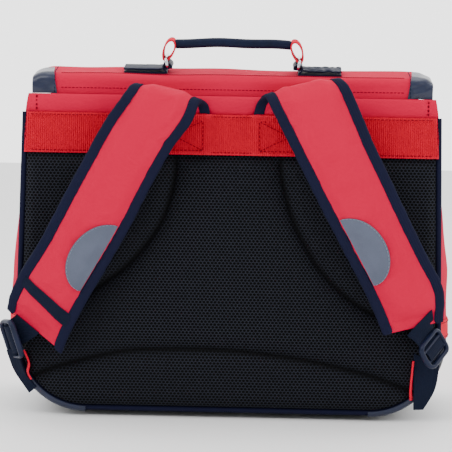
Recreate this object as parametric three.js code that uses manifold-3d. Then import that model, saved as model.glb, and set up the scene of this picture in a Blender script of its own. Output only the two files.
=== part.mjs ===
// A school satchel (ransel) with padded shoulder straps, seen from its back.
// Millimetres, +Z up. The back panel faces -Y, and the origin is on the floor under the middle of
// the base. A point on the back is given by x, z and out, its distance in front of the back panel.
import * as THREE from "three";
import { mergeVertices } from "three/addons/utils/BufferGeometryUtils.js";
import Module from "manifold-3d";

// Body of the satchel
const BODY_HEIGHT = 300;
const TOP_HALF = 190.5;
const LOW_HALF = 195.8;
const CORNER_RADIUS = 64;
const BASE_DEPTH = 170;
const TOP_DEPTH = 128;
const BASE_SWELL = 8;
const SIDE_SWELL = 12;
const SWELL_EDGE = 35;
const SWELL_FULL_HEIGHT = 140;
const CLOTH = 2.4;
const PANEL = 4;
const RIM_DROP = 3;
const PIPE_RADIUS = 2.7;
const SLEEVE_WALL = 1.2;
const SLEEVE_SPAN = 57;
const SLEEVE_ARC = { from: -30, to: 110 };
const WRAP_RISE = 6;
const TAPE_WIDTH = 16;
const TAPE_WALL = 1.2;
const TAPE_OVERLAP = 1.3;

// Clearance between pieces that touch
const GAP = 0.3;

// Numbers of flat facets in the round stretches
const CORNER_STEPS = 8;
const SLEEVE_STEPS = 6;
const PIPE_SIDES = 8;
const ARCH_STEPS = 14;
const CREASE_STEPS = 3;
const FRONT_STEPS = 5;
const FLAP_CORNER_STEPS = 6;
const GRIP_STEPS = 6;
const GRIP_SIDES = 10;
const WIRE_SIDES = 6;
const STRAP_STEPS = 3;
const STRAP_END_STEPS = 5;

// Padding and webbing on the back
const SHEET = 2.5;
const ZONE_RISE = 6;
const ZONE_BEVEL = 5;
const GROOVE = 4;
const BAND_HEIGHT = 17;
const BAND_WALL = 4.4;
const WEBBING_WIDTH = 37.5;
const WEBBING_WALL = 1.8;
const LUMBAR_HEIGHT = 64;
const LUMBAR_DROP = 30;

// Flap
const FLAP_WALL = 3;
const FLAP_RISE = 11;
const CREASE_RADIUS = 7;
const FLAP_SLOPE = 11;
const FLAP_INSET = 2.8;
const SLOPE_LENGTH = 30;
const CREST_RADIUS = 60;
const FRONT_RADIUS = 25;
const FLAP_LOW = 72;
const FLAP_CORNER = 40;
const END_DROP = 5;
const END_DROP_WIDTH = 17;
const GUARD_WIDTH = 23;
const GUARD_WALL = 1.4;
const CLASP = { width: 34, height: 42, wall: 7, overlap: 20 };

// Carry handle on the slope of the flap
const GRIP_LENGTH = 109;
const GRIP_RADIUS = 4.4;
const GRIP_ARCH = 1.5;
const GRIP_RISE = 26;
const ANCHOR_LENGTH = 37;
const ANCHOR_WIDTH = 24;
const ANCHOR_WALL = 1.8;
const ANCHOR_BORE = 3.6;
const RING_WIRE = 1.4;
const RING_HEIGHT = 13.5;
const RING_LEAN = 3.4;
const LOOP_WIDTH = 18;
const LOOP_WALL = 1.6;
const LOOP_REACH = 9.5;
const LOOP_BELLY = 5;
const LOOP_INSET = { neck: 0.4, belly: 1.2 };

// Shoulder straps
const STRAP_PAD = 11;
const FLANGE = 3;
const FLANGE_SLOPE = 12;
const BINDING_WIDTH = 8;
const BINDING_WALL = 1;
const STRAP_STAND = 36;
const STRAP_END_RADIUS = 7;
const STRAP_END_FLANGE = 4;
const REFLECTOR = { length: 70, width: 27, wall: 0.8, fromEnd: 52, lift: 1, tip: 12 };
const CROSS_TAPE = { width: 11, wall: 1.2, fromEnd: 28 };
const TAB = { width: 30, wall: 1.5, overlap: 7, length: 12 };
const TAB_SHIFT = { left: 4, right: 5 };
const TAB_SPLAY = { left: -25, right: 12 };
const BUCKLE = { width: 38, height: 27, wall: 4, rim: 3.6, slot: 5 };
const BUCKLE_TURN = { left: 42, right: 28 };
const LOWER_TAB = { root: 10, tip: 26, wall: 2, rise: 9, clear: 8.5, angle: 41 };
const LOWER_WEBBING = { width: 28, wall: 1.5, slack: 8 };

// Edges of a shoulder strap from its root to its lower end. X is a share of LOW_HALF, Z of the
// height of the root, and Out of STRAP_STAND beyond the root.
const STRAP_COLUMNS = ["innerX", "innerZ", "innerOut", "outerX", "outerZ", "outerOut"];
const STRAP_ROWS = {
  left: [
    [0.11, 1.0, 0.0, 0.449, 1.0, 0.0],
    [0.116, 1.024, 0.07, 0.456, 1.044, 0.09],
    [0.136, 1.04, 0.32, 0.45, 1.088, 0.38],
    [0.152, 1.034, 0.63, 0.47, 1.094, 0.71],
    [0.194, 0.977, 0.88, 0.509, 1.06, 0.94],
    [0.277, 0.901, 0.96, 0.582, 0.992, 1.02],
    [0.374, 0.782, 0.96, 0.674, 0.87, 1.02],
    [0.486, 0.64, 0.88, 0.786, 0.728, 0.94],
    [0.594, 0.508, 0.77, 0.896, 0.589, 0.77],
    [0.689, 0.393, 0.68, 0.987, 0.486, 0.62],
    [0.77, 0.3, 0.62, 1.037, 0.418, 0.5],
    [0.818, 0.25, 0.58, 1.064, 0.364, 0.42],
  ],
  right: [
    [0.113, 1.0, 0.0, 0.453, 1.0, 0.0],
    [0.118, 1.026, 0.07, 0.463, 1.046, 0.09],
    [0.141, 1.052, 0.35, 0.483, 1.1, 0.41],
    [0.165, 1.056, 0.69, 0.506, 1.113, 0.77],
    [0.194, 1.02, 0.94, 0.538, 1.091, 0.99],
    [0.254, 0.938, 1.05, 0.562, 1.031, 1.08],
    [0.336, 0.826, 1.08, 0.641, 0.928, 1.08],
    [0.425, 0.7, 1.02, 0.725, 0.802, 0.99],
    [0.514, 0.572, 0.91, 0.816, 0.668, 0.85],
    [0.598, 0.464, 0.8, 0.903, 0.545, 0.7],
    [0.665, 0.368, 0.71, 0.975, 0.444, 0.55],
    [0.717, 0.288, 0.63, 1.006, 0.345, 0.42],
  ],
};

// Right edge of the middle zone of the back padding, from the webbing down to the side seam.
// X is a share of LOW_HALF and Z of the height of the webbing's lower edge.
const BELL_COLUMNS = ["x", "z"];
const BELL_ROWS = [
  [0.25, 1.0],
  [0.255, 0.918],
  [0.276, 0.84],
  [0.312, 0.755],
  [0.383, 0.648],
  [0.47, 0.567],
  [0.572, 0.494],
  [0.68, 0.43],
  [0.82, 0.375],
  [1.05, 0.33],
];

const LEFT = -1;
const RIGHT = 1;
const INNER = -1;
const OUTER = 1;
const SIDES = { left: LEFT, right: RIGHT };

// Places that follow from the sizes above
const backY = -BASE_DEPTH / 2;
const backFace = backY - PANEL / 2;
const cornerX = LOW_HALF - CORNER_RADIUS;
const cornerZ = BASE_SWELL + CORNER_RADIUS;
const wrapZ = cornerZ + WRAP_RISE;
const rimZ = BODY_HEIGHT - RIM_DROP;
const seamInset = PIPE_RADIUS + GAP;
const webbingTop = BODY_HEIGHT - BAND_HEIGHT;
const webbingLow = webbingTop - WEBBING_WIDTH;
const lean = (BASE_DEPTH - TOP_DEPTH) / BODY_HEIGHT;
const flapHalf = TOP_HALF - seamInset - FLAP_INSET;
const flangeEnd = BINDING_WIDTH + 2 * GAP;
const bindingHalf = FLANGE / 2 + GAP + BINDING_WALL;
const strapSeat = GAP + BAND_WALL + GAP + bindingHalf;

const X = new THREE.Vector3(1, 0, 0);
const Y = new THREE.Vector3(0, 1, 0);
const Z = new THREE.Vector3(0, 0, 1);

const model = new THREE.Group();
const wasm = await Module();
wasm.setup();

function finish(color, roughness, metalness = 0) {
  return new THREE.MeshStandardMaterial({ color, roughness, metalness });
}

const redCloth = finish("#e8405a", 0.8);
const redWebbing = finish("#d8323f", 0.85);
const blackMesh = finish("#15161c", 0.95);
const navyCloth = finish("#1e2532", 0.85);
const navyGloss = finish("#3a4562", 0.25);
const navyLeather = finish("#293b56", 0.4);
const navyBinding = finish("#28243e", 0.85);
const greyReflector = finish("#60697b", 0.4);
const navyPlastic = finish("#26314c", 0.35);
const chrome = finish("#c9ccd2", 0.2, 1);

function add(name, geometry, material, parent = model) {
  const piece = new THREE.Mesh(geometry, material);
  piece.name = name;
  parent.add(piece);
  return piece;
}

// Rows of a table as objects with named columns
function named(columns, rows) {
  return rows.map((row) => Object.fromEntries(columns.map((column, i) => [column, row[i]])));
}

function steps(count) {
  return Array.from({ length: count + 1 }, (_, i) => i / count);
}

function radians(degrees) {
  return THREE.MathUtils.degToRad(degrees);
}

function clamp(value) {
  return THREE.MathUtils.clamp(value, 0, 1);
}

// Point in front of the back panel
function onBack(x, z, out) {
  return new THREE.Vector3(x, backFace - out, z);
}

// Six times the volume inside a closed set of faces, negative when they point inwards
function signedVolume(points, faces) {
  return faces.reduce((sum, [i, j, k]) => {
    return sum + points[i].dot(points[j].clone().cross(points[k]));
  }, 0);
}

// Closed solid through a row of frames. A frame has its place, its two directions and a section
// with the same number of points as the others. A ring has no ends.
function loft(frames, ring = false) {
  const count = frames[0].section.length;
  const points = frames.flatMap(({ at, u, v, section }) => {
    return section.map(([a, b]) => at.clone().addScaledVector(u, a).addScaledVector(v, b));
  });
  const faces = [];
  const gaps = ring ? frames.length : frames.length - 1;
  for (let row = 0; row < gaps; row += 1) {
    const low = row * count;
    const high = ((row + 1) % frames.length) * count;
    for (let i = 0; i < count; i += 1) {
      const j = (i + 1) % count;
      faces.push([low + i, low + j, high + j], [low + i, high + j, high + i]);
    }
  }
  if (!ring) {
    faces.push(...cap(frames, 0, true), ...cap(frames, frames.length - 1, false));
  }
  const inward = signedVolume(points, faces) < 0;
  const geometry = new THREE.BufferGeometry().setFromPoints(points);
  geometry.setIndex(faces.flatMap(([i, j, k]) => (inward ? [k, j, i] : [i, j, k])));
  return geometry;
}

// Faces that close one end of a loft, as rungs between the two halves of its section, which runs
// along one side of the wall and back along the other
function cap(frames, row, reversed) {
  const count = frames[row].section.length;
  const start = row * count;
  return steps(count / 2 - 1).slice(1).flatMap((_, i) => {
    const faces = [[i, i + 1, count - 2 - i], [i, count - 2 - i, count - 1 - i]];
    return faces.map(([a, b, c]) => (reversed ? [c, b, a] : [a, b, c]).map((k) => start + k));
  });
}

// Flat strip or sheet section, wide along the first direction
function stripSection(width, wall) {
  const a = width / 2;
  const b = wall / 2;
  return [[-a, -b], [a, -b], [a, b], [-a, b]];
}

function roundSection(radius, sides) {
  return steps(sides).slice(1).map((share) => {
    const angle = 2 * Math.PI * share;
    return [radius * Math.cos(angle), radius * Math.sin(angle)];
  });
}

// Plate drawn in x and z and laid on the back, from one distance in front of the panel outwards
function platesOnBack(shape, out, depth, bevel = {}) {
  const geometry = new THREE.ExtrudeGeometry(shape, {
    depth, curveSegments: 8, bevelEnabled: false, ...bevel,
  });
  geometry.rotateX(Math.PI / 2);
  geometry.translate(0, backFace - out, 0);
  return geometry;
}

function welded(geometry) {
  geometry.deleteAttribute("normal");
  geometry.deleteAttribute("uv");
  return mergeVertices(geometry, 1e-4);
}

function toManifold(geometry) {
  const merged = welded(geometry);
  return new wasm.Manifold(new wasm.Mesh({
    numProp: 3,
    vertProperties: new Float32Array(merged.attributes.position.array),
    triVerts: new Uint32Array(merged.index.array),
  }));
}

function fromManifold(manifold) {
  const mesh = manifold.getMesh();
  const geometry = new THREE.BufferGeometry();
  geometry.setAttribute("position", new THREE.BufferAttribute(mesh.vertProperties, 3));
  geometry.setIndex(new THREE.BufferAttribute(mesh.triVerts, 1));
  return geometry;
}

// Half width of the side seam at a height
function seamHalf(z) {
  const share = (z - cornerZ) / (BODY_HEIGHT - cornerZ);
  return THREE.MathUtils.lerp(LOW_HALF, TOP_HALF, Math.max(share, 0));
}

// Middle of the front panel's wall at a height
function frontY(z) {
  return BASE_DEPTH / 2 - lean * z;
}

// Stations on the side seam: a place in x and z and the direction that points out of the body
function sideStation(side, z) {
  return { x: side * seamHalf(z), z, nx: side, nz: 0 };
}

function cornerStation(side, degrees) {
  const nx = side * Math.sin(radians(degrees));
  const nz = -Math.cos(radians(degrees));
  return { x: side * cornerX + CORNER_RADIUS * nx, z: cornerZ + CORNER_RADIUS * nz, nx, nz };
}

function corner(side, span = 90, count = CORNER_STEPS) {
  return steps(count).map((share) => cornerStation(side, span * share));
}

// Whole seam from the top left, round the bottom, to the top right
function seamStations(top) {
  return [
    sideStation(LEFT, top),
    ...corner(LEFT).reverse(),
    ...corner(RIGHT),
    sideStation(RIGHT, top),
  ];
}

// Outline of a panel inside the piping
function panelShape(inset, top) {
  const points = seamStations(top).map(({ x, z, nx, nz }) => {
    return new THREE.Vector2(x - inset * nx, z - inset * nz);
  });
  return new THREE.Shape(points);
}

// How far the sides and the base stand out beyond the seam, at a station and a distance from it
function swell({ z, nz }, distance) {
  const rise = clamp((BODY_HEIGHT - z) / (BODY_HEIGHT - SWELL_FULL_HEIGHT));
  const full = THREE.MathUtils.lerp(SIDE_SWELL, BASE_SWELL, nz * nz);
  return full * rise * Math.sin((Math.PI / 2) * clamp(distance / SWELL_EDGE));
}

// Wall between the back and front seams, with its faces at two distances from the swell
function sideWall(stations, low, high) {
  return loft(stations.map((station) => {
    const { x, z, nx, nz } = station;
    const start = backFace + seamInset;
    const end = frontY(z) + PANEL / 2 - seamInset;
    const edge = steps(3).map((share) => share * SWELL_EDGE);
    const across = [
      ...edge.map((distance) => ({ y: start + distance, distance })),
      ...edge.reverse().map((distance) => ({ y: end - distance, distance })),
    ];
    const face = (offset) => across.map(({ y, distance }) => [swell(station, distance) + offset, y]);
    return {
      at: new THREE.Vector3(x, 0, z),
      u: new THREE.Vector3(nx, 0, nz),
      v: Y,
      section: [...face(high), ...face(low).reverse()],
    };
  }));
}

// Section run along the seam, in the plane of the seam's outward direction and the Y axis
function seamRun(stations, place, section) {
  return loft(stations.map((station) => ({
    at: new THREE.Vector3(station.x, place(station.z), station.z),
    u: new THREE.Vector3(station.nx, 0, station.nz),
    v: Y.clone().negate(),
    section,
  })));
}

// Side walls, base, panels and piping
function makeBody() {
  const sideHeights = [wrapZ + GAP, SWELL_FULL_HEIGHT, (SWELL_FULL_HEIGHT + rimZ) / 2, rimZ];
  for (const [name, side] of Object.entries(SIDES)) {
    const stations = sideHeights.map((z) => sideStation(side, z));
    add(`gusset_${name}`, sideWall(stations, -CLOTH, 0), redCloth);
    const tape = [wrapZ - TAPE_OVERLAP, wrapZ + TAPE_WIDTH].map((z) => sideStation(side, z));
    add(`side_tape_${name}`, sideWall(tape, GAP, GAP + TAPE_WALL), redWebbing);
  }
  const base = [
    sideStation(LEFT, wrapZ),
    ...corner(LEFT).reverse(),
    ...corner(RIGHT),
    sideStation(RIGHT, wrapZ),
  ];
  add("base_panel", sideWall(base, -CLOTH, 0), navyCloth);

  const back = panelShape(seamInset, BODY_HEIGHT);
  add("back_panel", platesOnBack(back, -PANEL, PANEL), redCloth);
  const front = platesOnBack(panelShape(seamInset, rimZ), -PANEL, PANEL);
  const position = front.attributes.position;
  for (let i = 0; i < position.count; i += 1) {
    position.setY(i, position.getY(i) - backY + frontY(position.getZ(i)));
  }
  add("front_panel", front, redCloth);

  const pipe = roundSection(PIPE_RADIUS, PIPE_SIDES);
  add("back_piping", seamRun(seamStations(webbingTop), () => backFace, pipe), navyBinding);
  const frontFace = (z) => frontY(z) + PANEL / 2;
  add("front_piping", seamRun(seamStations(rimZ), frontFace, pipe), navyBinding);
}

// Glossy sleeve round the outer half of the piping at a bottom corner
function makeSleeves() {
  const arc = (radius) => steps(5).map((share) => {
    const angle = radians(THREE.MathUtils.lerp(SLEEVE_ARC.from, SLEEVE_ARC.to, share));
    return [radius * Math.cos(angle), radius * Math.sin(angle)];
  });
  const inner = PIPE_RADIUS + GAP;
  const section = [...arc(inner + SLEEVE_WALL), ...arc(inner).reverse()];
  for (const [name, side] of Object.entries(SIDES)) {
    const stations = corner(side, SLEEVE_SPAN, SLEEVE_STEPS);
    add(`corner_sleeve_${name}`, seamRun(stations, () => backFace, section), navyGloss);
  }
}

// Mesh padding: a thin sheet with raised zones, parted by grooves
function makeBackPad() {
  const bell = named(BELL_COLUMNS, BELL_ROWS).map(({ x, z }) => {
    return new THREE.Vector2(x * LOW_HALF, z * webbingLow);
  });
  const mirror = (points) => points.map(({ x, y }) => new THREE.Vector2(-x, y)).reverse();
  const archZ = (x) => LUMBAR_HEIGHT - LUMBAR_DROP * Math.abs(x / LOW_HALF) ** 3;
  const arch = steps(ARCH_STEPS).map((share) => {
    const x = THREE.MathUtils.lerp(-LOW_HALF, LOW_HALF, share);
    return new THREE.Vector2(x, archZ(x));
  });
  const wide = 2 * LOW_HALF;
  const middle = [...bell, new THREE.Vector2(wide, bell.at(-1).y), ...lowerEdge(arch, wide)];
  const zones = {
    middle: [...middle, ...mirror(bell)],
    lumbar: [...arch, new THREE.Vector2(wide, archZ(LOW_HALF)), new THREE.Vector2(wide, -wide),
      new THREE.Vector2(-wide, -wide), new THREE.Vector2(-wide, archZ(LOW_HALF))],
    right: [...bell, new THREE.Vector2(wide, bell.at(-1).y), new THREE.Vector2(wide, webbingLow)],
  };
  zones.left = mirror(zones.right);

  const inside = panelShape(seamInset + GROOVE, webbingLow);
  const outer = toManifold(platesOnBack(inside, 0, SHEET + ZONE_RISE));
  let pad = toManifold(platesOnBack(panelShape(seamInset, webbingTop), GAP, SHEET));
  for (const outline of Object.values(zones)) {
    pad = pad.add(bevelledZone(outline, outer));
  }
  add("mesh_back_pad", fromManifold(pad), blackMesh);
}

// The arch read from right to left, with its ends drawn out past the panel
function lowerEdge(arch, wide) {
  return [
    new THREE.Vector2(wide, arch.at(-1).y),
    ...arch.slice().reverse(),
    new THREE.Vector2(-wide, arch[0].y),
  ];
}

// One raised zone: its outline drawn in by half a groove, with steps that narrow towards the top
function bevelledZone(outline, outer) {
  const shape = new THREE.Shape(outline);
  const layers = steps(2).map((share) => {
    const angle = (Math.PI / 2) * share;
    return {
      inset: GROOVE / 2 + ZONE_BEVEL * (1 - Math.cos(angle)),
      rise: ZONE_RISE * Math.sin(angle),
    };
  });
  let zone = null;
  for (const { inset, rise } of layers.slice(1)) {
    const geometry = platesOnBack(shape, GAP + SHEET / 2, SHEET / 2 + rise, {
      bevelEnabled: true, bevelThickness: 0, bevelSize: 0, bevelOffset: -inset, bevelSegments: 1,
    });
    const layer = toManifold(geometry).intersect(outer);
    zone = zone ? zone.add(layer) : layer;
  }
  return zone;
}

// Red band and wide webbing above the padding
function makeBands() {
  const band = [webbingTop + GAP, BODY_HEIGHT].map((z) => ({
    at: onBack(0, z, GAP + BAND_WALL / 2),
    u: X,
    v: Y,
    section: stripSection(2 * (seamHalf(z) - seamInset), BAND_WALL),
  }));
  add("upper_band", loft(band), redCloth);
  const webbing = [webbingLow + GAP, webbingTop].map((z) => ({
    at: onBack(0, z, 2 * GAP + SHEET + WEBBING_WALL / 2),
    u: X,
    v: Y,
    section: stripSection(2 * (seamHalf(z) - seamInset), WEBBING_WALL),
  }));
  add("back_webbing", loft(webbing), redWebbing);
}

// Path of the flap in y and z, walked with straight runs and turns to the right
function flapPath() {
  let heading = Math.PI / 2;
  const place = new THREE.Vector2(backY, BODY_HEIGHT + GAP);
  const path = [];
  const mark = (name) => path.push({
    y: place.x, z: place.y, ny: -Math.sin(heading), nz: Math.cos(heading), name,
  });
  const ahead = () => new THREE.Vector2(Math.cos(heading), Math.sin(heading));
  const aside = () => new THREE.Vector2(Math.sin(heading), -Math.cos(heading));
  const run = (length) => place.addScaledVector(ahead(), length);
  const turn = (angle, radius, count, name) => {
    for (let i = 0; i < count; i += 1) {
      place.addScaledVector(aside(), radius);
      heading -= angle / count;
      place.addScaledVector(aside(), -radius);
      mark(name);
    }
  };
  mark("root");
  run(FLAP_RISE);
  mark("rise");
  turn(Math.PI / 2 - radians(FLAP_SLOPE), CREASE_RADIUS, CREASE_STEPS, "crease");
  run(SLOPE_LENGTH);
  mark("slope");
  turn(radians(FLAP_SLOPE), CREST_RADIUS, 2, "crest");
  const fall = Math.PI / 2 - Math.atan(lean);
  const bendZ = place.y - FRONT_RADIUS * (1 - Math.cos(fall));
  run(flapFrontY(bendZ) - FRONT_RADIUS * Math.sin(fall) - place.x);
  mark("top");
  turn(fall, FRONT_RADIUS, FRONT_STEPS, "front");
  return path;
}

function flapFrontY(z) {
  return frontY(z) + PANEL / 2 + 2 * GAP + FLAP_WALL / 2;
}

// Distances from the flap's side edge at which it has a station, with its round lower corner
function flapStations() {
  const round = steps(FLAP_CORNER_STEPS).map((share) => {
    const angle = (Math.PI / 2) * share;
    return {
      x: flapHalf - FLAP_CORNER * (1 - Math.sin(angle)),
      raise: FLAP_CORNER * (1 - Math.cos(angle)),
    };
  });
  const guard = flapHalf - GUARD_WIDTH;
  const angle = Math.asin(1 - GUARD_WIDTH / FLAP_CORNER);
  round.push({ x: guard, raise: FLAP_CORNER * (1 - Math.cos(angle)) });
  round.sort((a, b) => a.x - b.x);
  return round;
}

// Section of the flap at one station, between two distances from its middle
function flapSection(path, station, low, high) {
  const droop = clamp((Math.abs(station.x) - flapHalf + END_DROP_WIDTH) / END_DROP_WIDTH) ** 2;
  const point = ({ y, z, ny, nz }, offset) => {
    const share = clamp((z - BODY_HEIGHT) / (FLAP_RISE + CREASE_RADIUS));
    return [y + ny * offset, z + nz * offset - END_DROP * droop * share];
  };
  return [
    ...path.map((row) => point(row, high)),
    ...path.map((row) => point(row, low)).reverse(),
  ];
}

function flapLoft(stations, pathAt, low, high) {
  return loft(stations.map((station) => ({
    at: new THREE.Vector3(station.x, 0, 0),
    u: Y,
    v: Z,
    section: flapSection(pathAt(station), station, low, high),
  })));
}

function makeFlap() {
  const path = flapPath();
  const end = path.at(-1);
  const withFront = (station) => [...path, ...steps(3).slice(1).map((share) => {
    const z = THREE.MathUtils.lerp(end.z, FLAP_LOW + station.raise, share);
    return { ...end, y: flapFrontY(z), z };
  })];
  const right = flapStations();
  const left = right.map(({ x, raise }) => ({ x: -x, raise })).reverse();
  const half = FLAP_WALL / 2;
  add("flap", flapLoft([...left, ...right], withFront, -half, half), redCloth);

  const guardPath = path.filter(({ name }) => !["top", "front"].includes(name));
  const guardStations = right.filter(({ x }) => x >= flapHalf - GUARD_WIDTH);
  for (const [name, side] of Object.entries(SIDES)) {
    const stations = guardStations.map(({ x, raise }) => ({ x: side * x, raise }));
    const guard = flapLoft(stations, () => guardPath, half + GAP, half + GAP + GUARD_WALL);
    add(`flap_guard_${name}`, guard, navyGloss);
  }

  const claspZ = FLAP_LOW + CLASP.overlap - CLASP.height / 2;
  const clasp = new THREE.BoxGeometry(CLASP.width, CLASP.wall, CLASP.height);
  clasp.rotateX(Math.atan(lean));
  clasp.translate(0, flapFrontY(claspZ) + FLAP_WALL / 2 + 2 * GAP + CLASP.wall / 2, claspZ);
  add("front_clasp", clasp, navyPlastic);
}

// Carry handle, built in the plane of the flap's slope: x across, y up the slope, z off it
function makeHandle() {
  const path = flapPath();
  const start = path.filter(({ name }) => name === "crease").at(-1);
  const end = path.find(({ name }) => name === "slope");
  const handle = new THREE.Group();
  const seat = FLAP_WALL / 2 + GAP;
  handle.position.set(
    0,
    (start.y + end.y) / 2 + start.ny * seat,
    (start.z + end.z) / 2 + start.nz * seat,
  );
  handle.rotation.x = radians(FLAP_SLOPE);
  model.add(handle);

  const gripEnd = GRIP_LENGTH / 2;
  const gripSection = roundSection(GRIP_RADIUS, GRIP_SIDES);
  const grip = steps(GRIP_STEPS).map((share) => {
    const x = THREE.MathUtils.lerp(-gripEnd, gripEnd, share);
    const rise = GRIP_RISE + GRIP_ARCH * (1 - (x / gripEnd) ** 2);
    return { at: new THREE.Vector3(x, 0, rise), u: Y, v: Z, section: gripSection };
  });
  add("handle_grip", loft(grip), navyLeather, handle);

  const bore = new THREE.Vector2(gripEnd + LOOP_REACH, ANCHOR_BORE + ANCHOR_WALL);
  for (const [name, side] of Object.entries(SIDES)) {
    const anchor = acrossSlope(anchorShape(bore), ANCHOR_WIDTH, side);
    add(`handle_anchor_${name}`, anchor, navyLeather, handle);
    add(`handle_ring_${name}`, ringGeometry(bore, side), chrome, handle);
    const webbingLoop = acrossSlope(loopShape(bore, gripEnd), LOOP_WIDTH, side);
    add(`handle_loop_${name}`, webbingLoop, redWebbing, handle);
  }
}

// Shape drawn in x and z for the right side, made solid across the slope's y
function acrossSlope(shape, width, side) {
  const geometry = new THREE.ExtrudeGeometry(shape, {
    depth: width, curveSegments: 8, bevelEnabled: false,
  });
  geometry.translate(0, 0, -width / 2);
  geometry.rotateX(Math.PI / 2);
  if (side === LEFT) {
    geometry.rotateZ(Math.PI);
  }
  return geometry;
}

// Folded leather strip: a loop for the ring, and a doubled tab stitched to the flap
function anchorShape(bore) {
  const outer = ANCHOR_BORE + ANCHOR_WALL;
  const shape = new THREE.Shape();
  shape.moveTo(bore.x + ANCHOR_LENGTH, 0);
  shape.lineTo(bore.x, 0);
  const meet = Math.asin((2 * ANCHOR_WALL - bore.y) / outer);
  shape.absarc(bore.x, bore.y, outer, -Math.PI / 2, meet, true);
  shape.lineTo(bore.x + ANCHOR_LENGTH, 2 * ANCHOR_WALL);
  shape.closePath();
  shape.holes.push(new THREE.Path().absarc(bore.x, bore.y, ANCHOR_BORE, 0, 2 * Math.PI, false));
  return shape;
}

function ringPlace(bore) {
  const low = new THREE.Vector2(bore.x, ANCHOR_WALL + RING_WIRE + GAP);
  const high = low.clone().add(new THREE.Vector2(-RING_LEAN, RING_HEIGHT));
  return { low, high };
}

// Rectangular wire ring with round corners, leaning towards the grip
function ringGeometry(bore, side) {
  const { low, high } = ringPlace(bore);
  const up = new THREE.Vector3(side * (high.x - low.x), 0, high.y - low.y);
  const halfHeight = up.length() / 2;
  up.normalize();
  const centre = new THREE.Vector3(side * (low.x + high.x) / 2, 0, (low.y + high.y) / 2);
  const halfWidth = ANCHOR_WIDTH / 2 + 2 * GAP + RING_WIRE;
  const bend = 2 * RING_WIRE;
  const facing = Y.clone().cross(up);
  const frames = [];
  for (const quarter of [0, 1, 2, 3]) {
    for (const share of steps(3)) {
      const angle = (Math.PI / 2) * (quarter + share);
      const cos = Math.cos(angle);
      const sin = Math.sin(angle);
      const signY = [1, -1, -1, 1][quarter];
      const signZ = [1, 1, -1, -1][quarter];
      const radial = Y.clone().multiplyScalar(cos).addScaledVector(up, sin);
      const at = centre.clone()
        .addScaledVector(Y, signY * (halfWidth - bend) + bend * cos)
        .addScaledVector(up, signZ * (halfHeight - bend) + bend * sin);
      frames.push({ at, u: radial, v: facing, section: roundSection(RING_WIRE, WIRE_SIDES) });
    }
  }
  return loft(frames, true);
}

// Red webbing loop from the grip's end round the ring's upper bar, a leaf shape seen from behind
function loopShape(bore, gripEnd) {
  const { high } = ringPlace(bore);
  const neck = gripEnd + GAP;
  const under = GRIP_RISE - GRIP_RADIUS;
  const tip = new THREE.Vector2(high.x + RING_WIRE, bore.y + ANCHOR_BORE + ANCHOR_WALL + GAP);
  const middle = (under + tip.y) / 2;
  const outline = (inset) => {
    const path = inset ? new THREE.Path() : new THREE.Shape();
    const topX = neck + inset;
    const drawnIn = inset * LOOP_INSET.belly;
    path.moveTo(topX, under + GAP + inset * LOOP_INSET.neck);
    path.quadraticCurveTo(neck - LOOP_BELLY / 2 + drawnIn, middle, tip.x, tip.y + inset);
    path.quadraticCurveTo(
      tip.x + LOOP_BELLY - drawnIn, middle + LOOP_BELLY, topX + LOOP_WALL, GRIP_RISE - inset);
    if (!inset) {
      path.lineTo(topX, GRIP_RISE);
    }
    path.closePath();
    return path;
  };
  const shape = outline(0);
  shape.holes.push(outline(LOOP_WALL));
  return shape;
}

// Course of a shoulder strap: place and directions at any share of its length
function strapCourse(name, side) {
  const rootZ = webbingTop + GAP;
  const rows = named(STRAP_COLUMNS, STRAP_ROWS[name]);
  const edge = (x, z, out) => new THREE.CatmullRomCurve3(rows.map((row) => onBack(
    side * row[x] * LOW_HALF, row[z] * rootZ, strapSeat + row[out] * STRAP_STAND,
  )));
  const inner = edge("innerX", "innerZ", "innerOut");
  const outer = edge("outerX", "outerZ", "outerOut");
  const middleAt = (t) => inner.getPoint(t).add(outer.getPoint(t)).multiplyScalar(0.5);
  const frameAt = (t) => {
    const a = inner.getPoint(t);
    const b = outer.getPoint(t);
    const reach = 0.01;
    const along = middleAt(Math.min(t + reach, 1)).sub(middleAt(Math.max(t - reach, 0)));
    const across = b.clone().sub(a);
    const width = across.length();
    across.normalize();
    along.addScaledVector(across, -along.dot(across)).normalize();
    const normal = along.clone().cross(across).multiplyScalar(side);
    return { middle: a.add(b).multiplyScalar(0.5), across, along, normal, width };
  };
  const measuredAt = 200;
  const fine = steps(measuredAt).map((t) => ({ t, at: middleAt(t) }));
  fine[0].run = 0;
  for (let i = 1; i < fine.length; i += 1) {
    fine[i].run = fine[i - 1].run + fine[i].at.distanceTo(fine[i - 1].at);
  }
  const length = fine.at(-1).run;
  const lookUp = (from, to) => (value) => {
    const found = fine.findIndex((row) => row[from] >= value);
    const i = found < 0 ? fine.length - 1 : Math.max(found, 1);
    const share = (value - fine[i - 1][from]) / (fine[i][from] - fine[i - 1][from]);
    return THREE.MathUtils.lerp(fine[i - 1][to], fine[i][to], clamp(share));
  };
  const shareAt = lookUp("run", "t");
  const runAt = lookUp("t", "run");
  const straightEnd = length - STRAP_END_RADIUS - flangeEnd;
  const straight = steps(Math.round((rows.length - 1) * STRAP_STEPS)).map(runAt)
    .filter((run) => run < straightEnd);
  const round = steps(STRAP_END_STEPS).map((share) => {
    const angle = (Math.PI / 2) * share;
    return {
      run: length - STRAP_END_RADIUS * (1 - Math.sin(angle)),
      inset: STRAP_END_RADIUS * (1 - Math.cos(angle)),
      angle,
    };
  });
  const stations = [...straight.map((run) => ({ run, inset: 0, angle: 0 })), ...round];
  return { frameAt: (run) => frameAt(shareAt(run)), stations, round, straight, length, side };
}

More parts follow.
